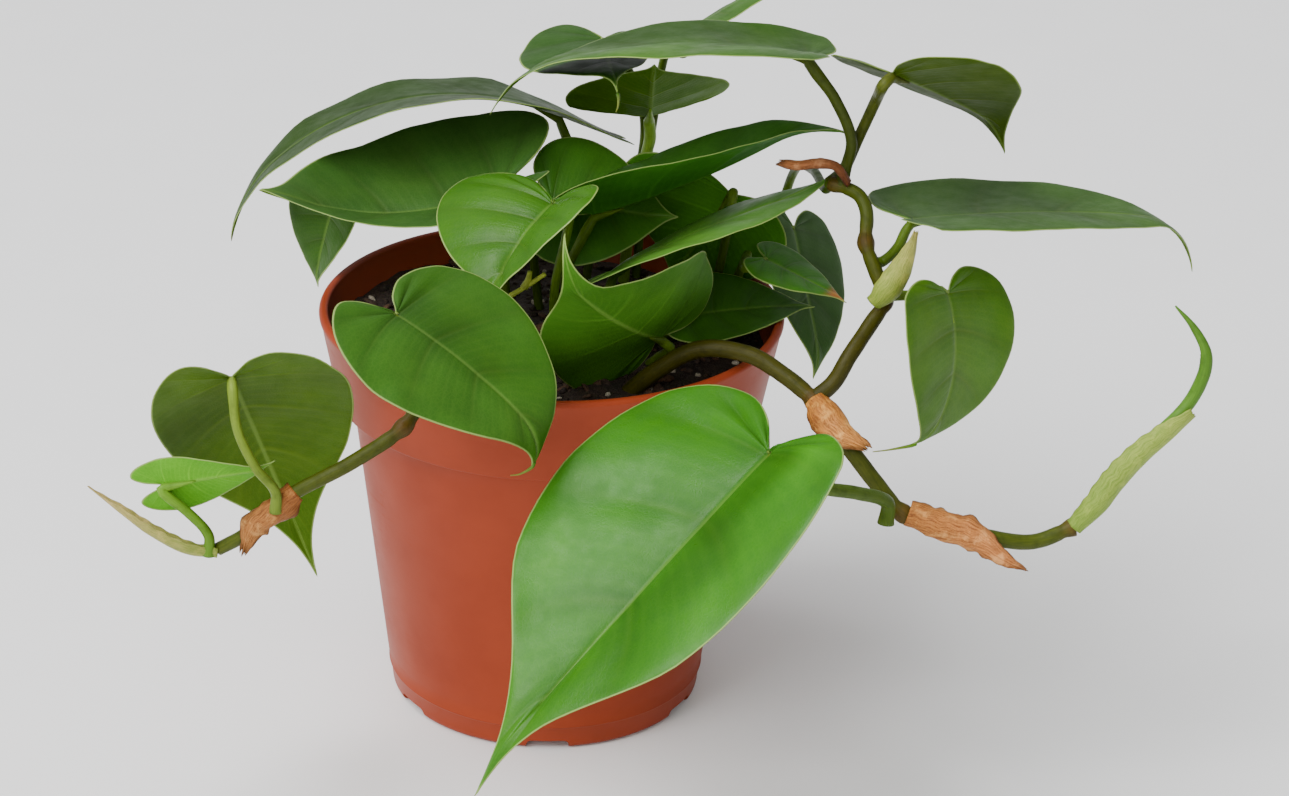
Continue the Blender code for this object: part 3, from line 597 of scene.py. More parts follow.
def relief_of(leaf, flat, info):
    """How far each point of the middle surface stands up, in millimetres, from its veins and waves."""
    row, reach, _ = info.T
    quilt = (1.0 - to_vein(row) ** 2) * np.sin(math.pi * np.clip(reach, 0.0, 1.0)) ** 0.8
    places = np.column_stack((flat, np.zeros(len(flat))))
    size = leaf["length"]
    slow = noise_at(places, size * 0.32, leaf["seed"], 2)
    margin = noise_at(places, size * 0.12, leaf["seed"] + 3.0)
    return (
        leaf["quilt"] * quilt
        + slow * size * 0.012 * leaf["wave"] * smooth_step(reach, 0.0, 0.35)
        + margin * size * 0.006 * leaf["wave"] * reach ** 2
    )


YOUNG_TINT = (0.030, 0.06, 0.004)
DRY_TIP = (0.34, 0.13, 0.03)


def blade_tint(leaf, flat, info):
    """The upper and lower colours at each point: lengthwise and sidewise shifts, painted shade along the
    sunken side veins, patches of painted light and shade, and mottling.
    """
    row, reach, _ = info.T
    along = np.clip(flat[:, 1] / leaf["length"], -0.2, 1.0)
    across = flat[:, 0] / (leaf["width"] / 2.0)
    mottle = noise_at(np.column_stack((flat, np.zeros(len(flat)))), 9.0, leaf["seed"] + 5.0, 3)
    young = smooth_step(along, 0.55, 1.0) * leaf["young_tip"]
    found = []
    for key in ("upper", "under"):
        colour = np.tile(np.array(leaf[key], float), (len(flat), 1)) * (1.0 + 0.20 * mottle[:, None])
        # Painted shade: the upper colour is made darker along the sunken side veins, as if their grooves were
        # shaded.
        if key == "upper":
            colour = colour * (1.0 - 0.30 * to_vein(row) ** 3 * (1.0 - 0.6 * reach))[:, None]
        colour += young[:, None] * np.array(YOUNG_TINT)
        if leaf["dry"]:
            dried = smooth_step(along + 0.05 * mottle, leaf["dry"], leaf["dry"] + 0.12)[:, None]
            colour += (np.array(DRY_TIP) - colour) * dried
        # Patches of painted light and shade: each one brightens or darkens the colours round its place.
        for centre_x, centre_y, radius, gain in leaf["patches"]:
            near = np.exp(-(((across - centre_x) / radius) ** 2 + ((along - centre_y) / radius) ** 2))
            colour *= 1.0 + (gain - 1.0) * near[:, None]
        found.append(colour)
    return found


def make_blade(name, leaf, materials):
    """A thin blade with a rounded rim, a groove over its midrib and a ridge under it."""
    middle, flat, info, faces, rim = blade_grid(leaf)
    middle = middle + normals_of(middle, faces) * relief_of(leaf, flat, info)[:, None]
    normals = normals_of(middle, faces)
    row, reach, side = info.T
    edge_mm = np.linalg.norm(middle - nearest_rim(middle, middle[rim]), axis=1)
    from_midrib = np.abs(flat[:, 0])
    along = np.clip(flat[:, 1] / leaf["length"], 0.0, 1.0)
    rib = np.exp(-((from_midrib / (0.9 - 0.5 * along)) ** 2)) * (1.0 - 0.8 * along) * (flat[:, 1] >= -0.5)
    half = leaf["thickness"] / 2.0 * (0.45 + 0.55 * smooth_step(edge_mm, 0.0, 1.2))
    upper = middle + normals * (half - leaf["rib"] * 0.6 * rib)[:, None]
    under = middle - normals * (half + leaf["rib"] * rib)[:, None]
    loop = middle[rim]
    outward = unit(np.roll(loop, -1, 0) - np.roll(loop, 1, 0))
    outward = unit(np.cross(outward, normals[rim]))
    bead = loop + outward * leaf["thickness"] * 0.35
    count = len(middle)
    all_faces = [list(f) for f in faces] + [[corner + count for corner in f[::-1]] for f in faces]
    index = [0] * len(faces) + [1] * len(faces)
    for k, corner in enumerate(rim):
        following = (k + 1) % len(rim)
        first, second = 2 * count + k, 2 * count + following
        all_faces.append([rim[following], corner, first, second])
        all_faces.append([second, first, corner + count, rim[following] + count])
        index += [0, 0]
    upper_tint, under_tint = blade_tint(leaf, flat, info)

    def stack(values):
        return np.concatenate((values, values, values[rim]))

    piece = make_mesh(
        name, np.vstack((upper, under, bead)), all_faces, materials, index,
        uv=stack(flat) / 100.0 + 0.5, row=stack(row), reach=stack(side * reach),
        rib_mm=stack(from_midrib), edge_mm=np.concatenate((edge_mm, edge_mm, np.zeros(len(rim)))),
        tint=np.vstack((upper_tint, under_tint, upper_tint[rim])),
    )
    return place(piece, "leaf", name.replace("blade", "leaf"))


def nearest_rim(places, rim):
    """For each place, the nearest of the rim's points, with the rim's spans cut finer."""
    following = np.roll(rim, -1, 0)
    fine = np.concatenate([rim + (following - rim) * part for part in (0.0, 0.25, 0.5, 0.75)])
    found = np.empty_like(places)
    for start in range(0, len(places), 256):
        block = places[start:start + 256]
        apart = np.linalg.norm(block[:, None] - fine[None], axis=2)
        found[start:start + 256] = fine[apart.argmin(1)]
    return found


# Stems


def route_axes(points):
    """Smoothly turning sideways and upward directions along a route."""
    ahead = unit(np.gradient(points, axis=0))
    side = unit(np.cross(ahead[0], UP if abs(ahead[0][2]) < 0.95 else np.array((1.0, 0.0, 0.0))))
    sides = [side]
    for direction in ahead[1:]:
        side = unit(side - direction * side.dot(direction))
        sides.append(side)
    sides = np.array(sides)
    return ahead, sides, np.cross(sides, ahead)


def make_tube(name, points, radii, material, colours, squash=None, sides=20, ripple=0.05, seed=0.0):
    """A round piece along the points, with pinched ends; colours are one per point."""
    ahead, sideways, upward = route_axes(points)
    angles = full_turn(sides)
    distances = np.concatenate(([0.0], np.cumsum(np.linalg.norm(np.diff(points, axis=0), axis=1))))
    turns = angles[None, :, None]
    ring = np.cos(turns) * sideways[:, None] + np.sin(turns) * upward[:, None]
    reach = np.tile(np.asarray(radii, float)[:, None], (1, sides))
    if squash is not None:
        reach = reach * squash(angles[None, :], distances[:, None])
    places = points[:, None] + ring * reach[..., None]
    bumps = noise_at(places, 3.5, seed, 2)
    places = places + ring * (ripple * bumps)[..., None]
    count = len(points)
    ends = points[0] - ahead[0] * radii[0] * 0.35, points[-1] + ahead[-1] * radii[-1] * 0.35
    faces = strip_faces(count, sides)
    first, last = count * sides, count * sides + 1
    for k in range(sides):
        following = (k + 1) % sides
        faces.append([first, following, k])
        faces.append([last, (count - 1) * sides + k, (count - 1) * sides + following])
    colours = np.repeat(np.asarray(colours, float), sides, axis=0)
    colours = np.vstack((colours, colours[0], colours[-1]))
    length = np.concatenate((np.repeat(distances, sides), (0.0, distances[-1])))
    around = np.concatenate((np.tile(angles, count), (0.0, 0.0)))
    vertices = [*places.reshape(-1, 3), *ends]
    return make_mesh(name, vertices, faces, [material], length_mm=length, around=around, tint=colours)


# Materials


class Nodes:
    """Builds a material's node tree around its Principled shader."""

    def __init__(self, name):
        self.material = bpy.data.materials.new(name)
        self.material.use_nodes = True
        self.tree = self.material.node_tree
        self.shader = self.tree.nodes["Principled BSDF"]

    def value(self, socket, value):
        if isinstance(value, bpy.types.NodeSocket):
            self.tree.links.new(value, socket)
        elif isinstance(value, tuple) and len(value) == 3 and socket.type == "RGBA":
            socket.default_value = (*value, 1.0)
        else:
            socket.default_value = value

    def node(self, kind, values, output=0, **settings):
        """One output of a new node with these settings and with these values or links at its inputs."""
        node = self.tree.nodes.new(f"ShaderNode{kind}")
        for key, setting in settings.items():
            setattr(node, key, setting)
        for key, value in values.items():
            self.value(node.inputs[key], value)
        return node.outputs[output]

    def attribute(self, name, output="Fac"):
        return self.node("Attribute", {}, output, attribute_name=name)

    def coordinates(self):
        return self.node("TexCoord", {}, "Object")

    def joined(self, *values):
        return self.node("CombineXYZ", dict(enumerate(values)))

    def math(self, operation, *values):
        return self.node("Math", dict(enumerate(values)), operation=operation)

    def times(self, first, second):
        return self.math("MULTIPLY", first, second)

    def plus(self, total, *others):
        for other in others:
            total = self.math("ADD", total, other)
        return total

    def remap(self, value, from_low, from_high, to_low=0.0, to_high=1.0):
        values = dict(enumerate((value, from_low, from_high, to_low, to_high)))
        return self.node("MapRange", values, interpolation_type="SMOOTHSTEP")

    def scaled(self, vector, scale):
        return self.node("Mapping", {"Vector": vector, "Scale": scale})

    def noise(self, vector, scale, detail=3.0, roughness=0.55, distortion=0.0):
        keys = ("Vector", "Scale", "Detail", "Roughness", "Distortion")
        return self.node("TexNoise", dict(zip(keys, (vector, scale, detail, roughness, distortion))), "Fac")

    def cells(self, vector, scale, feature="F1"):
        return self.node("TexVoronoi", {"Vector": vector, "Scale": scale}, "Distance", feature=feature)

    def mix(self, factor, first, second, blend="MIX"):
        settings = dict(data_type="RGBA", blend_type=blend, clamp_factor=True)
        return self.node("Mix", {"Factor": factor, 6: first, 7: second}, 2, **settings)

    def gained(self, colour, gains):
        """The colour with each of its channels scaled."""
        return self.mix(1.0, colour, gains, "MULTIPLY")

    def bump(self, height, strength, distance_mm):
        values = {"Height": height, "Strength": strength, "Distance": distance_mm * MM}
        return self.node("Bump", values, "Normal")

    def finish(self, colour, roughness, normal=None, specular=0.5):
        self.value(self.shader.inputs["Base Color"], colour)
        self.value(self.shader.inputs["Roughness"], roughness)
        self.shader.inputs["Specular IOR Level"].default_value = specular
        if normal is not None:
            self.value(self.shader.inputs["Normal"], normal)
        return self.material


def leaf_material(name, upper, glossy=False):
    """Blade colour from the tint, with paler veins, a fine vein net, a cream margin and a waxy skin."""
    n = Nodes(name)
    row, reach = n.attribute("row"), n.math("ABSOLUTE", n.attribute("reach"))
    rib, edge = n.attribute("rib_mm"), n.attribute("edge_mm")
    places = n.coordinates()
    tint = n.attribute("tint", "Color")
    to_vein = n.math("PINGPONG", n.times(row, float(VEINS_PER_SIDE)), 0.5)
    to_fine = n.math("PINGPONG", n.times(row, VEINS_PER_SIDE * 6.0), 0.5)
    near_rib = n.remap(reach, 0.0, 0.9, 1.0, 0.15)
    vein = n.times(n.remap(to_vein, 0.0, 0.075, 1.0, 0.0), near_rib)
    fine = n.times(n.remap(to_fine, 0.0, 0.3, 1.0, 0.0), n.remap(reach, 0.0, 1.0, 0.8, 0.35))
    net = n.remap(n.cells(places, 1100.0, "DISTANCE_TO_EDGE"), 0.0, 0.18, 1.0, 0.0)
    mottle = n.noise(places, 260.0, 4.0)
    cloud = n.noise(places, 70.0, 3.0)
    speck = n.noise(places, 2600.0, 2.0)
    midrib = n.remap(rib, 0.15, 0.8, 1.0, 0.0)
    pale = n.gained(tint, (2.3, 1.55, 2.2) if upper else (2.1, 1.6, 2.2))
    rib_colour = n.mix(0.5, pale, (0.15, 0.26, 0.05))
    colour = n.mix(n.remap(mottle, 0.3, 0.75, 0.0, 0.3), tint, n.gained(tint, (0.50, 0.68, 0.5)))
    colour = n.mix(n.remap(cloud, 0.45, 0.75, 0.0, 0.3), colour, n.gained(tint, (1.7, 1.35, 1.3)))
    colour = n.mix(n.times(net, 0.12), colour, pale)
    colour = n.mix(n.times(fine, 0.14 if upper else 0.22), colour, pale)
    colour = n.mix(n.times(vein, 0.35 if upper else 0.5), colour, pale)
    colour = n.mix(n.times(midrib, 0.5 if upper else 0.8), colour, rib_colour)
    margin = n.remap(edge, 0.08, 0.34, 1.0, 0.0)
    colour = n.mix(n.times(margin, 0.8), colour, (0.27, 0.37, 0.10))
    vein_height, fine_height, net_height = (-0.5, -0.16, -0.10) if upper else (0.8, 0.25, 0.15)
    height = n.plus(
        n.times(vein, vein_height), n.times(fine, fine_height), n.times(net, net_height),
        n.times(speck, 0.10), n.times(mottle, 0.35),
    )
    smooth, rough = (0.25, 0.42) if glossy else (0.38, 0.52) if upper else (0.50, 0.62)
    specular = 0.17 if glossy else 0.15 if upper else 0.07
    return n.finish(colour, n.remap(mottle, 0.25, 0.8, smooth, rough), n.bump(height, 0.5, 0.22), specular)


def stem_material():
    """Green stem with lengthwise streaks, small dots and a soft skin."""
    n = Nodes("stem_skin")
    around, length = n.attribute("around"), n.attribute("length_mm")
    tint = n.attribute("tint", "Color")
    places = n.coordinates()
    ring = [n.times(n.math(axis, around), 2.2) for axis in ("SINE", "COSINE")]
    streak = n.noise(n.joined(*ring, n.times(length, 0.09)), 2.4, 5.0, 0.65)
    mottle = n.noise(places, 420.0, 4.0)
    dots = n.remap(n.cells(places, 900.0), 0.0, 0.28, 1.0, 0.0)
    colour = n.mix(n.remap(streak, 0.35, 0.7, 0.0, 0.55), tint, n.gained(tint, (1.7, 1.5, 1.35)))
    colour = n.mix(n.remap(mottle, 0.45, 0.75, 0.0, 0.5), colour, n.gained(tint, (0.5, 0.5, 0.55)))
    colour = n.mix(n.times(dots, 0.12), colour, (0.16, 0.13, 0.03))
    height = n.plus(n.times(streak, 0.6), n.times(mottle, 0.5))
    return n.finish(colour, n.remap(mottle, 0.3, 0.7, 0.34, 0.50), n.bump(height, 0.5, 0.3), 0.12)


def sheath_material(name, dry):
    """A papery or fleshy sheath: lengthwise fibres, blotches, and torn edges of another tone."""
    n = Nodes(name)
    around, length = n.attribute("around"), n.attribute("length_mm")
    tint = n.attribute("tint", "Color")
    places = n.coordinates()
    fibre = n.noise(n.joined(n.times(around, 3.4), n.times(length, 0.10)), 3.0, 6.0, 0.7, 0.4)
    blotch = n.noise(places, 330.0, 4.0, 0.6)
    net = n.remap(n.cells(places, 1500.0, "DISTANCE_TO_EDGE"), 0.0, 0.2, 1.0, 0.0)
    dark = (0.30, 0.20, 0.16) if dry else (0.55, 0.70, 0.40)
    light = (1.45, 1.9, 2.6) if dry else (1.35, 1.25, 1.4)
    colour = n.mix(n.remap(fibre, 0.40, 0.62, 0.0, 0.85), tint, n.gained(tint, dark))
    colour = n.mix(n.remap(blotch, 0.5, 0.68, 0.0, 0.75), colour, n.gained(tint, light))
    colour = n.mix(n.times(net, 0.12), colour, n.gained(tint, light))
    height = n.plus(n.times(fibre, 1.0), n.times(blotch, 0.6))
    low, high = (0.42, 0.7) if dry else (0.38, 0.55)
    return n.finish(colour, n.remap(blotch, 0.3, 0.7, low, high), n.bump(height, 0.7, 0.4), 0.22)


def pot_material():
    """Moulded terracotta-coloured plastic: faint mottling, fine grain, scuffs, dust near the bottom and
    blotchy painted shade inside.
    """
    n = Nodes("pot_plastic")
    places = n.coordinates()
    cloud = n.noise(places, 38.0, 5.0, 0.6)
    grain = n.noise(places, 1900.0, 3.0)
    turned_marks = n.noise(n.scaled(places, (14.0, 14.0, 900.0)), 1.0, 3.0, 0.5)
    scuff = n.noise(n.scaled(places, (60.0, 60.0, 260.0)), 1.0, 6.0, 0.75, 1.2)
    inside = n.attribute("inside")
    low = n.remap(n.node("SeparateXYZ", {0: places}, 2), 0.0, 0.016, 1.0, 0.0)
    colour = n.mix(n.remap(cloud, 0.3, 0.75), (0.285, 0.041, 0.013), (0.240, 0.033, 0.010))
    colour = n.mix(n.remap(scuff, 0.6, 0.78, 0.0, 0.25), colour, (0.38, 0.062, 0.018))
    dust = n.times(low, n.remap(cloud, 0.4, 0.7, 0.05, 0.35))
    colour = n.mix(dust, colour, (0.24, 0.045, 0.018))
    # Painted shade: the inside of the pot is darkened in blotches.
    shade = n.times(inside, n.remap(scuff, 0.3, 0.7, 0.25, 0.6))
    colour = n.mix(shade, colour, (0.20, 0.045, 0.016))
    roughness = n.plus(n.remap(cloud, 0.3, 0.7, 0.40, 0.50), n.times(n.remap(scuff, 0.55, 0.8), 0.16))
    height = n.plus(n.times(grain, 0.25), n.times(turned_marks, 0.35), n.times(scuff, 0.2))
    return n.finish(colour, roughness, n.bump(height, 0.25, 0.12), 0.14)


def soil_material():
    """Moist brown potting mix; the tint carries each grain's own colour."""
    n = Nodes("soil_grains")
    places = n.coordinates()
    tint = n.attribute("tint", "Color")
    crumbs = n.noise(places, 700.0, 6.0, 0.7)
    colour = n.mix(n.remap(crumbs, 0.35, 0.7, 0.0, 0.8), tint, n.gained(tint, (0.35, 0.33, 0.32)))
    return n.finish(colour, n.remap(crumbs, 0.3, 0.7, 0.65, 0.95), n.bump(crumbs, 1.0, 0.6))


def floor_material():
    n = Nodes("studio_floor")
    places = n.coordinates()
    cloud = n.noise(places, 1.3, 3.0)
    colour = n.mix(cloud, (0.93, 0.93, 0.93), (0.95, 0.95, 0.95))
    return n.finish(colour, n.remap(n.noise(places, 40.0), 0.3, 0.7, 0.55, 0.65))


# Stems of the plant


def nearest_on(points, place):
    points = np.asarray(points)
    return points[np.linalg.norm(points - np.asarray(place, float), axis=1).argmin()]


def vine_points():
    """The finely stepped centre line of each vine."""
    return {name: smooth_route(row[0], 0.8)[0] for name, row in VINES.items()}


def make_vines(material, centres):
    for name, (route, start_radius, end_radius, nodes) in VINES.items():
        start = np.array(route[0], float)
        if name == "vine_branch":
            before = nearest_on(centres["vine_right"], start - (4.0, 1.0, 4.0))
        else:
            before = start - (route[1][0] - start[0], route[1][1] - start[1], 7.0)
        points, _, shares = smooth_route([tuple(before), *route], 0.7)
        radii = start_radius + (end_radius - start_radius) * shares
        brown = np.zeros(len(points))
        for node in nodes:
            near = np.linalg.norm(points - np.asarray(node, float), axis=1)
            ring, neck = np.exp(-((near / 1.6) ** 2)), np.exp(-(((near - 2.6) / 0.8) ** 2))
            radii = radii + 0.45 * ring - 0.18 * neck
            brown = np.maximum(brown, np.exp(-((near / 2.6) ** 2)))
        green = smooth_step(shares, 0.25, 0.9)[:, None]
        colours = np.array(VINE_OLIVE) * (1.0 - green) + np.array(VINE_GREEN) * green
        colours = colours + (np.array(NODE_BROWN) - colours) * (0.65 * brown)[:, None]
        piece = make_tube(f"stem_{name}", points, radii, material, colours, ripple=0.09, seed=len(name))
        place(piece, "stem", name)


def petiole_points(leaf, centres):
    """The petiole's full centre line, from inside its vine or the soil to under the blade."""
    route, radius = leaf["route"], leaf["stalk"]
    joint, along, _, face = (f[0] for f in leaf["frames"])
    end = joint - face * (0.2 + radius * 0.75) - along * 0.3
    solid_end = joint - face * (BLADE_THICKNESS / 2.0 + GAP + 0.1 + radius) - along * 0.5
    reach = min(leaf["reach"], 0.35 * np.linalg.norm(solid_end - route[-1]))
    before_end = end - (face + along) * 0.7 * reach
    start = np.array(route[0], float)
    if start[2] < SOIL_TOP + 3.0:
        first = start - (0.0, 0.0, 5.0)
    else:
        nearest = [nearest_on(line, start) for line in centres.values()]
        first = min(nearest, key=lambda point: np.linalg.norm(point - start))
    return smooth_route([tuple(first), *route, tuple(before_end), tuple(end)], 0.8)


def make_petiole(name, leaf, material, centres):
    points, distances, shares = petiole_points(leaf, centres)
    _, along, _, face = (f[0] for f in leaf["frames"])
    radius = leaf["stalk"]
    to_blade = distances[-1] - distances
    swollen = 0.35 * np.exp(-distances / 3.0) + 0.10 * np.exp(-((to_blade - 4.0) / 3.0) ** 2)
    under = [points[-1] + along * step * 1.2 + face * step * 0.06 for step in range(1, 7)]
    points = np.vstack((points, under))
    radii = np.concatenate((radius * (1.0 + swollen), radius * np.linspace(0.82, 0.15, len(under))))
    young = smooth_step(np.concatenate((shares, np.ones(len(under)))), 0.3, 1.0)[:, None]
    colours = np.array(leaf["petiole"]) * (0.78 + 0.34 * young)

    def channel(angles, _):
        return 1.0 - 0.10 * np.exp(-(((angles - math.pi / 2.0) / 0.5) ** 2))

    stalk = name.replace("leaf", "stalk")
    piece = make_tube(stalk, points, radii, material, colours, channel, seed=sum(map(ord, name)) % 17)
    return place(piece, "stem", name.replace("leaf", "petiole"))


def make_tail(name, leaf, material):
    """The thread that a drip tip dries or draws out into."""
    tip, along = (f[-1] for f in leaf["frames"][:2])
    reach = np.array(leaf["tail"], float)
    route = [tuple(tip - along * 1.5), tuple(tip), tuple(tip + reach * 0.5 + along * 0.8), tuple(tip + reach)]
    points, _, shares = smooth_route(route, 0.3)
    radii = 0.12 + 0.36 * (1.0 - shares) ** 1.3
    start, end = np.array(leaf["upper"]) * 1.3, np.array((0.24, 0.26, 0.05))
    colours = start + (end - start) * shares[:, None]
    return place(make_tube(name, points, radii, material, colours, sides=10, ripple=0.03), "leaf")


def make_stub(material):
    """A pale green stub left where a shoot was cut, forked near its end."""
    for index, route in enumerate(STUBS):
        points, _, shares = smooth_route(route, 0.5)
        radii = 0.95 * (1.0 - 0.45 * shares)
        colours = np.tile((0.30, 0.36, 0.045), (len(points), 1)) * (0.8 + 0.4 * shares[:, None])
        name = f"stub_{index}"
        place(make_tube(name, points, radii, material, colours, sides=14, ripple=0.08, seed=3.0), "stem")


# Sheaths

SHEATH_THICKNESS = 0.16


def make_sheath(name, route, radii, spans, facing, slot, colours, ragged, material, seed):
    """A thin wrinkled trough round the route, with a torn far end."""
    points, distances, shares = smooth_route(route, 0.6)
    ahead = unit(np.gradient(points, axis=0))
    front = unit(np.array(facing, float) - ahead * (ahead @ np.array(facing, float))[:, None])
    side = np.cross(ahead, front)
    count, across = len(points), 26
    radius = (blend_values(radii, shares) * (0.8 + 0.2 * smooth_step(shares, 0.0, 0.25)))[:, None]
    half_span = np.radians(blend_values(spans, shares))[:, None] / 2.0
    steps = np.linspace(-1.0, 1.0, across)[None, :]
    across_places = np.column_stack((steps[0] * 9.0, np.zeros((across, 2))))
    torn = ragged * noise_at(across_places, 1.6, seed, 2)
    shift = (shares[:, None] ** 3) * torn[None, :]
    angle = half_span * (steps + 0.03 * np.sin(distances[:, None] * 1.7 + seed))
    centre = points[:, None] + ahead[:, None] * shift[..., None]
    direction = front[:, None] * np.cos(angle)[..., None] + side[:, None] * np.sin(angle)[..., None]

    def wrinkles(x, y, scale, seeded, octaves):
        """Noise on the sheath laid flat, from its places across and along."""
        flat = np.stack(np.broadcast_arrays(x, y, np.full_like(angle, seed)), axis=-1)
        return noise_at(flat, scale, seeded, octaves)

    dry = slot == "sheath_dry"
    crinkled = 1.0 if dry else 0.3
    wrinkle = wrinkles(steps * 5.0, distances[:, None] * 0.35, 1.3, seed, 3)
    edge_noise = wrinkles(np.sign(steps) * 9.0, distances[:, None], 3.2, seed + 2.0, 2)
    lift = 0.26 * crinkled * wrinkle + crinkled * np.abs(steps) ** 4 * (0.25 + 1.5 * edge_noise)
    surface = centre + direction * (radius + 0.06 + lift * min(1.0, max(radii) / 2.5))[..., None]
    first, second = (np.array(c, float) for c in colours)
    tone = np.repeat(shares, across)[:, None]
    tint = first * (1.0 - tone) + second * tone
    edge = np.tile(np.abs(steps[0]) ** 5, count)[:, None]
    frayed = np.maximum(edge, np.repeat(smooth_step(shares, 0.86, 1.0), across)[:, None])
    tint = tint * (1.0 - (0.62 if dry else 0.15) * frayed)
    piece = make_mesh(
        name.replace("sheath", "wrap"), surface.reshape(-1, 3), strip_faces(count, across, closed=False),
        [material], length_mm=np.repeat(distances, across), around=np.tile(steps[0] * 1.6, count), tint=tint,
    )
    thickness = piece.modifiers.new("thickness", "SOLIDIFY")
    thickness.thickness = SHEATH_THICKNESS * MM
    thickness.offset = 1.0
    return place(piece, slot, name)


def make_rolled_leaf(material):
    """The new leaf, still rolled into a spindle: a spiral seam winds round it to a thread-like tip."""
    points, _, shares = smooth_route(ROLLED_LEAF_ROUTE, 0.5)
    radii = blend_values(ROLLED_LEAF_RADII, shares)

    def seam(angles, lengths):
        turn = (angles + lengths * 0.13) % (2.0 * math.pi) / (2.0 * math.pi)
        return 0.86 + 0.22 * turn

    young, old = np.array((0.085, 0.21, 0.02)), np.array((0.06, 0.15, 0.014))
    colours = young + (old - young) * smooth_step(shares, 0.2, 0.7)[:, None]
    piece = make_tube("blade_rolled", points, radii, material, colours, seam, sides=36, seed=4.0)
    return place(piece, "leaf", "leaf_rolled")


# Pot and soil


def arc(centre, radius, start, end, steps=5):
    """Points on a small rounding of the profile, in (radius, height)."""
    angles = np.radians(np.linspace(start, end, steps))
    return [(centre[0] + radius * math.cos(a), centre[1] + radius * math.sin(a)) for a in angles]


def make_pot(material):
    """The pot's wall as one turned profile, up its outside and down its inside, with its drains cut out."""
    step = POT_HEIGHT - BAND_HEIGHT
    inner_floor = BODY_LOWER_RADIUS - WALL
    foot, top = BODY_LOWER_RADIUS, POT_HEIGHT
    outer = [
        (0.0, 0.0), (foot - 6.0, 0.0), *arc((foot - 1.6, 1.6), 1.6, -90.0, 0.0, 6),
        (foot + 0.45, SKIRT_HEIGHT - 0.5), *arc((foot + 0.55, SKIRT_HEIGHT + 0.2), 0.35, -60.0, 60.0, 4),
        (foot + 1.2, SKIRT_HEIGHT + 4.0), (BODY_UPPER_RADIUS - 0.7, step - 5.0),
        (BODY_UPPER_RADIUS - 0.1, step - 0.9), (BODY_UPPER_RADIUS + 0.3, step - 0.15),
        (BODY_UPPER_RADIUS + 1.0, step), (BAND_LOWER_RADIUS - 0.7, step),
        *arc((BAND_LOWER_RADIUS - 0.6, step + 0.6), 0.6, -80.0, 0.0, 4),
        (BAND_LOWER_RADIUS + 1.0, step + 6.0), (RIM_RADIUS - 1.0, top - 5.0), (RIM_RADIUS - 0.55, top - 2.6),
        *arc((RIM_RADIUS - 1.0, top - 1.0), 1.0, -15.0, 90.0, 7),
    ]
    inner = [
        *arc((RIM_RADIUS - 1.4, top - 0.8), 0.8, 90.0, 180.0, 5),
        (BODY_UPPER_RADIUS + 1.2, step + WALL), (BODY_UPPER_RADIUS - WALL, step - 0.5),
        (inner_floor + 0.4, FLOOR_THICKNESS + 1.5), (inner_floor - 1.0, FLOOR_THICKNESS),
        (0.0, FLOOR_THICKNESS),
    ]
    profile = outer + inner
    angles = full_turn(POT_SIDES)
    vertices, inside = [], []
    for index, (radius, height) in enumerate(profile[1:-1]):
        wobble = 1.0 + 0.0012 * np.sin(2.0 * angles + 0.6) * (height / POT_HEIGHT)
        reach = radius * wobble
        vertices += zip(reach * np.cos(angles), reach * np.sin(angles), np.full(POT_SIDES, height))
        inside += [1.0 if index + 1 >= len(outer) + 3 else 0.0] * POT_SIDES
    rows = len(profile) - 2
    faces = strip_faces(rows, POT_SIDES)
    faces.append(list(range(POT_SIDES))[::-1])
    faces.append([(rows - 1) * POT_SIDES + k for k in range(POT_SIDES)])
    pot = make_mesh("pot_shell", vertices, faces, [material], inside=inside)
    for index in range(DRAIN_COUNT):
        cut = pot.modifiers.new(f"drain_{index}", "BOOLEAN")
        cut.operation = "DIFFERENCE"
        cut.object = drain_cutter(index)
    edges = pot.modifiers.new("sharp_edges", "EDGE_SPLIT")
    edges.split_angle = math.radians(48.0)
    return place(pot, "terracotta_plastic", "pot")


def drain_cutter(index):
    """A rounded wedge that cuts one drain through the pot's lower corner."""
    bm = bmesh.new()
    bmesh.ops.create_cube(bm, size=1.0)
    bmesh.ops.scale(bm, vec=(2.0 * DRAIN_DEPTH, DRAIN_WIDTH, 2.0 * DRAIN_HEIGHT), verts=bm.verts)
    top_edges = [
        e for e in bm.edges
        if all(v.co.z > 0 for v in e.verts) and abs(e.verts[0].co.x - e.verts[1].co.x) > 1.0
    ]
    bmesh.ops.bevel(bm, geom=top_edges, offset=1.3, segments=5, profile=0.5, affect="EDGES")
    bmesh.ops.translate(bm, vec=(BODY_LOWER_RADIUS, 0.0, 0.0), verts=bm.verts)
    angle = math.radians(DRAIN_FIRST_ANGLE + index * 360.0 / DRAIN_COUNT)
    bmesh.ops.rotate(bm, cent=(0, 0, 0), matrix=Matrix.Rotation(angle, 3, "Z"), verts=bm.verts)
    bmesh.ops.scale(bm, vec=(MM, MM, MM), verts=bm.verts)
    cutter = add_object(f"drain_cutter_{index}", finished_mesh(f"drain_cutter_{index}", bm))
    cutter.hide_render = True
    cutter.display_type = "WIRE"
    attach(cutter, "root")
    return cutter


def soil_height(x, y):
    """The soil's surface: a low mound with hollows and clods."""
    places = np.stack((x, y, np.zeros_like(x)), axis=-1)
    radius = np.hypot(x, y)
    rise = SOIL_MOUND * (1.0 - radius / SOIL_EDGE)
    clods = noise_at(places, 15.0, 2.0, 2) * 1.1 + noise_at(places, 4.5, 5.0, 3) * 1.0
    return SOIL_TOP + SOIL_HEAPED + rise + clods - SOIL_SLOPE * x / SOIL_EDGE


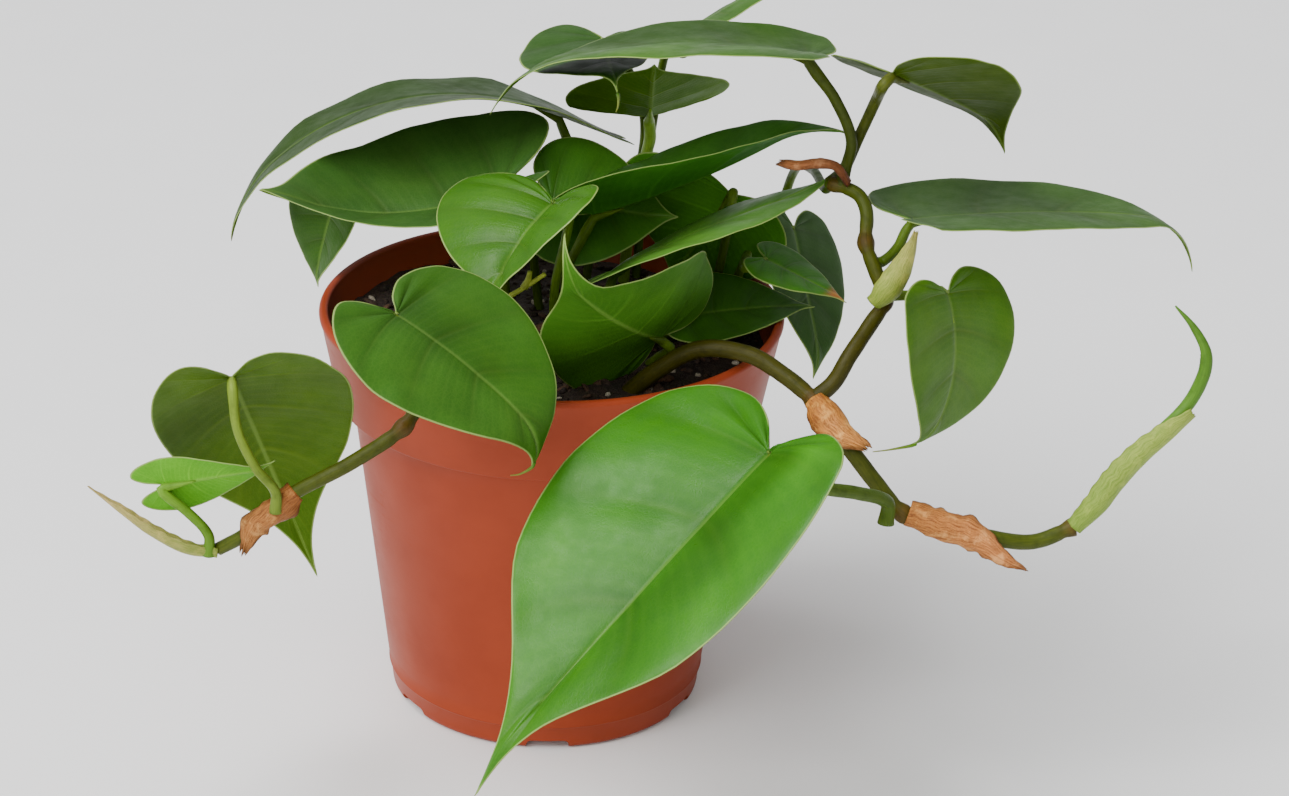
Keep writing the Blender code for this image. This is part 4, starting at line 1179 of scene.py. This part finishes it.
def make_soil(material):
    """The soil as a lid of fine hollows and clods, closed by a wall down into the pot."""
    rings, sides = 60, 150
    radii = np.linspace(0.0, BODY_UPPER_RADIUS + 4.2, rings + 1)[1:]
    circle = np.array([(math.cos(a), math.sin(a)) for a in full_turn(sides)])
    places = np.vstack(((0.0, 0.0), (radii[:, None, None] * circle).reshape(-1, 2)))
    wall = circle * (BODY_UPPER_RADIUS - WALL - GAP - 0.4)
    vertices = np.vstack((
        np.column_stack((places, soil_height(*places.T))),
        np.column_stack((wall, np.full(sides, SOIL_FOOT))),
    ))
    faces = [[0, 1 + k, 1 + (k + 1) % sides] for k in range(sides)]
    for face in strip_faces(rings + 1, sides):
        faces.append([1 + corner for corner in (face[0], *face[:0:-1])])
    faces.append(list(range(len(vertices) - sides, len(vertices)))[::-1])
    tint = np.tile((0.032, 0.016, 0.008), (len(vertices), 1))
    tint = tint * (1.0 + 0.5 * noise_at(vertices, 7.0, 1.0, 2)[:, None])
    return place(make_mesh("soil_bed", vertices, faces, [material], tint=tint), "soil", "soil")


SOIL_GRAINS = (
    # how many, smallest and largest half size, flatness, colour
    (620, 0.5, 1.5, 0.6, (0.036, 0.018, 0.009)),
    (260, 0.8, 2.6, 0.35, (0.070, 0.032, 0.013)),
    (70, 1.2, 3.4, 0.3, (0.12, 0.052, 0.018)),
    (75, 0.4, 1.2, 0.8, (0.42, 0.37, 0.28)),
)


def make_grains(material):
    """Loose crumbs, bark chips and perlite lying on the soil, as one piece."""
    random = np.random.default_rng(11)
    bm = bmesh.new()
    bmesh.ops.create_icosphere(bm, subdivisions=2, radius=1.0)
    ball = np.array([v.co[:] for v in bm.verts])
    ball_faces = [[v.index for v in f.verts] for f in bm.faces]
    bm.free()
    vertices, faces, tint = [], [], []
    for count, small, large, flatness, colour in SOIL_GRAINS:
        for _ in range(count):
            angle = random.uniform(0.0, 2.0 * math.pi)
            radius = GRAIN_SPREAD * math.sqrt(random.uniform(0.0, 1.0))
            x, y = radius * math.cos(angle), radius * math.sin(angle)
            size = small + (large - small) * random.uniform() ** 2
            shape = ball * (1.0 + 0.30 * noise_at(ball * 2.0, 1.5, random.uniform(0, 40))[:, None])
            shape = shape * (1.0, random.uniform(0.45, 0.9), flatness * random.uniform(0.6, 1.2))
            tilt_x, tilt_y = (
                Matrix.Rotation(random.uniform(-0.6, 0.6), 3, axis) for axis in ("X", "Y")
            )
            turn = np.array(Matrix.Rotation(random.uniform(0.0, 6.28), 3, "Z") @ (tilt_x @ tilt_y))
            z = float(soil_height(np.array([x]), np.array([y]))[0])
            placed = shape @ turn.T * size + (x, y, z + size * flatness * 0.25)
            faces += [[corner + len(vertices) for corner in f] for f in ball_faces]
            vertices += list(placed)
            tint += [np.array(colour) * random.uniform(0.6, 1.35)] * len(ball)
    piece = make_mesh("soil_grains", vertices, faces, [material], tint=np.array(tint))
    return place(piece, "soil")


# Camera, lights and floor


def make_camera():
    """Looks along +Y and down, rolled a little."""
    elevation, roll = math.radians(CAMERA_ELEVATION), math.radians(CAMERA_ROLL)
    back = np.array((0.0, -math.cos(elevation), math.sin(elevation)))
    right = np.array((1.0, 0.0, 0.0))
    up = np.cross(back, right)
    axes = right * math.cos(roll) + up * math.sin(roll), up * math.cos(roll) - right * math.sin(roll), back
    data = bpy.data.cameras.new("camera")
    data.sensor_width = 36.0
    data.lens = CAMERA_LENS
    data.clip_start = 0.05
    camera = add_object("camera", data)
    where = (np.array(CAMERA_TARGET) + back * CAMERA_DISTANCE) * MM
    camera.matrix_world = Matrix([(*row, 0.0) for row in (*axes, where)]).transposed()
    camera.matrix_world[3][3] = 1.0
    bpy.context.scene.camera = camera


LIGHTS = (
    # name, place, size, power, colour: soft boxes that face the plant
    ("top_box", (-0.32, 0.02, 1.05), 0.42, 5.2, (1.0, 1.0, 1.0)),
    ("front_fill", (-0.30, -1.15, 0.80), 0.9, 9.0, (1.0, 0.99, 0.97)),
)
SUN_FROM, SUN_ANGLE, SUN_STRENGTH = (-0.60, -0.42, 0.95), 40.0, 3.0
LIT_PLACE = (0.02, 0.0, 0.09)
AIR_COLOUR, AIR_STRENGTH = (0.97, 0.98, 1.0, 1.0), 0.55


def add_lamp(name, kind, where, energy):
    """A lamp at this place, facing the plant."""
    data = bpy.data.lights.new(name, kind)
    data.energy = energy
    lamp = add_object(name, data)
    lamp.location = where
    lamp.rotation_euler = (Vector(LIT_PLACE) - Vector(where)).to_track_quat("-Z", "Y").to_euler()
    return data


def make_lights():
    for name, where, size, power, colour in LIGHTS:
        data = add_lamp(name, "AREA", where, power)
        data.shape = "SQUARE"
        data.size = size
        data.color = colour
    add_lamp("key_sun", "SUN", SUN_FROM, SUN_STRENGTH).angle = math.radians(SUN_ANGLE)
    world = bpy.data.worlds.new("studio_air")
    world.use_nodes = True
    background = world.node_tree.nodes["Background"]
    background.inputs["Color"].default_value = AIR_COLOUR
    background.inputs["Strength"].default_value = AIR_STRENGTH
    bpy.context.scene.world = world


def make_floor():
    bm = bmesh.new()
    bmesh.ops.create_grid(bm, x_segments=8, y_segments=8, size=4.0)
    mesh = finished_mesh("studio_floor", bm)
    mesh.materials.append(floor_material())
    floor = add_object("studio_floor", mesh)
    floor.location.z = -0.0002


def main():
    upper, under = leaf_material("leaf_upper", True), leaf_material("leaf_under", False)
    waxy = leaf_material("leaf_upper_glossy", True, True)
    stem = stem_material()
    centres = vine_points()
    for name, row in LEAVES.items():
        leaf = {**LEAF_DEFAULTS, **row, "seed": sum(map(ord, name)) % 29}
        leaf["frames"] = midrib_frames(leaf)
        make_blade(name.replace("leaf", "blade"), leaf, [waxy if leaf["glossy"] else upper, under])
        make_petiole(name, leaf, stem, centres)
        if leaf["tail"]:
            make_tail(name.replace("leaf", "tail"), leaf, stem)
    make_vines(stem, centres)
    make_rolled_leaf(stem)
    make_stub(stem)
    wraps = {
        "sheath_dry": sheath_material("sheath_papery", True),
        "sheath_fresh": sheath_material("sheath_green", False),
        "sheath_pale": sheath_material("sheath_straw", False),
    }
    for index, (name, row) in enumerate(SHEATHS.items()):
        slot = row[4]
        make_sheath(name, *row, wraps[slot], index + 1.0)
    make_pot(pot_material())
    soil = soil_material()
    make_soil(soil)
    make_grains(soil)
    make_floor()
    make_camera()
    make_lights()


main()
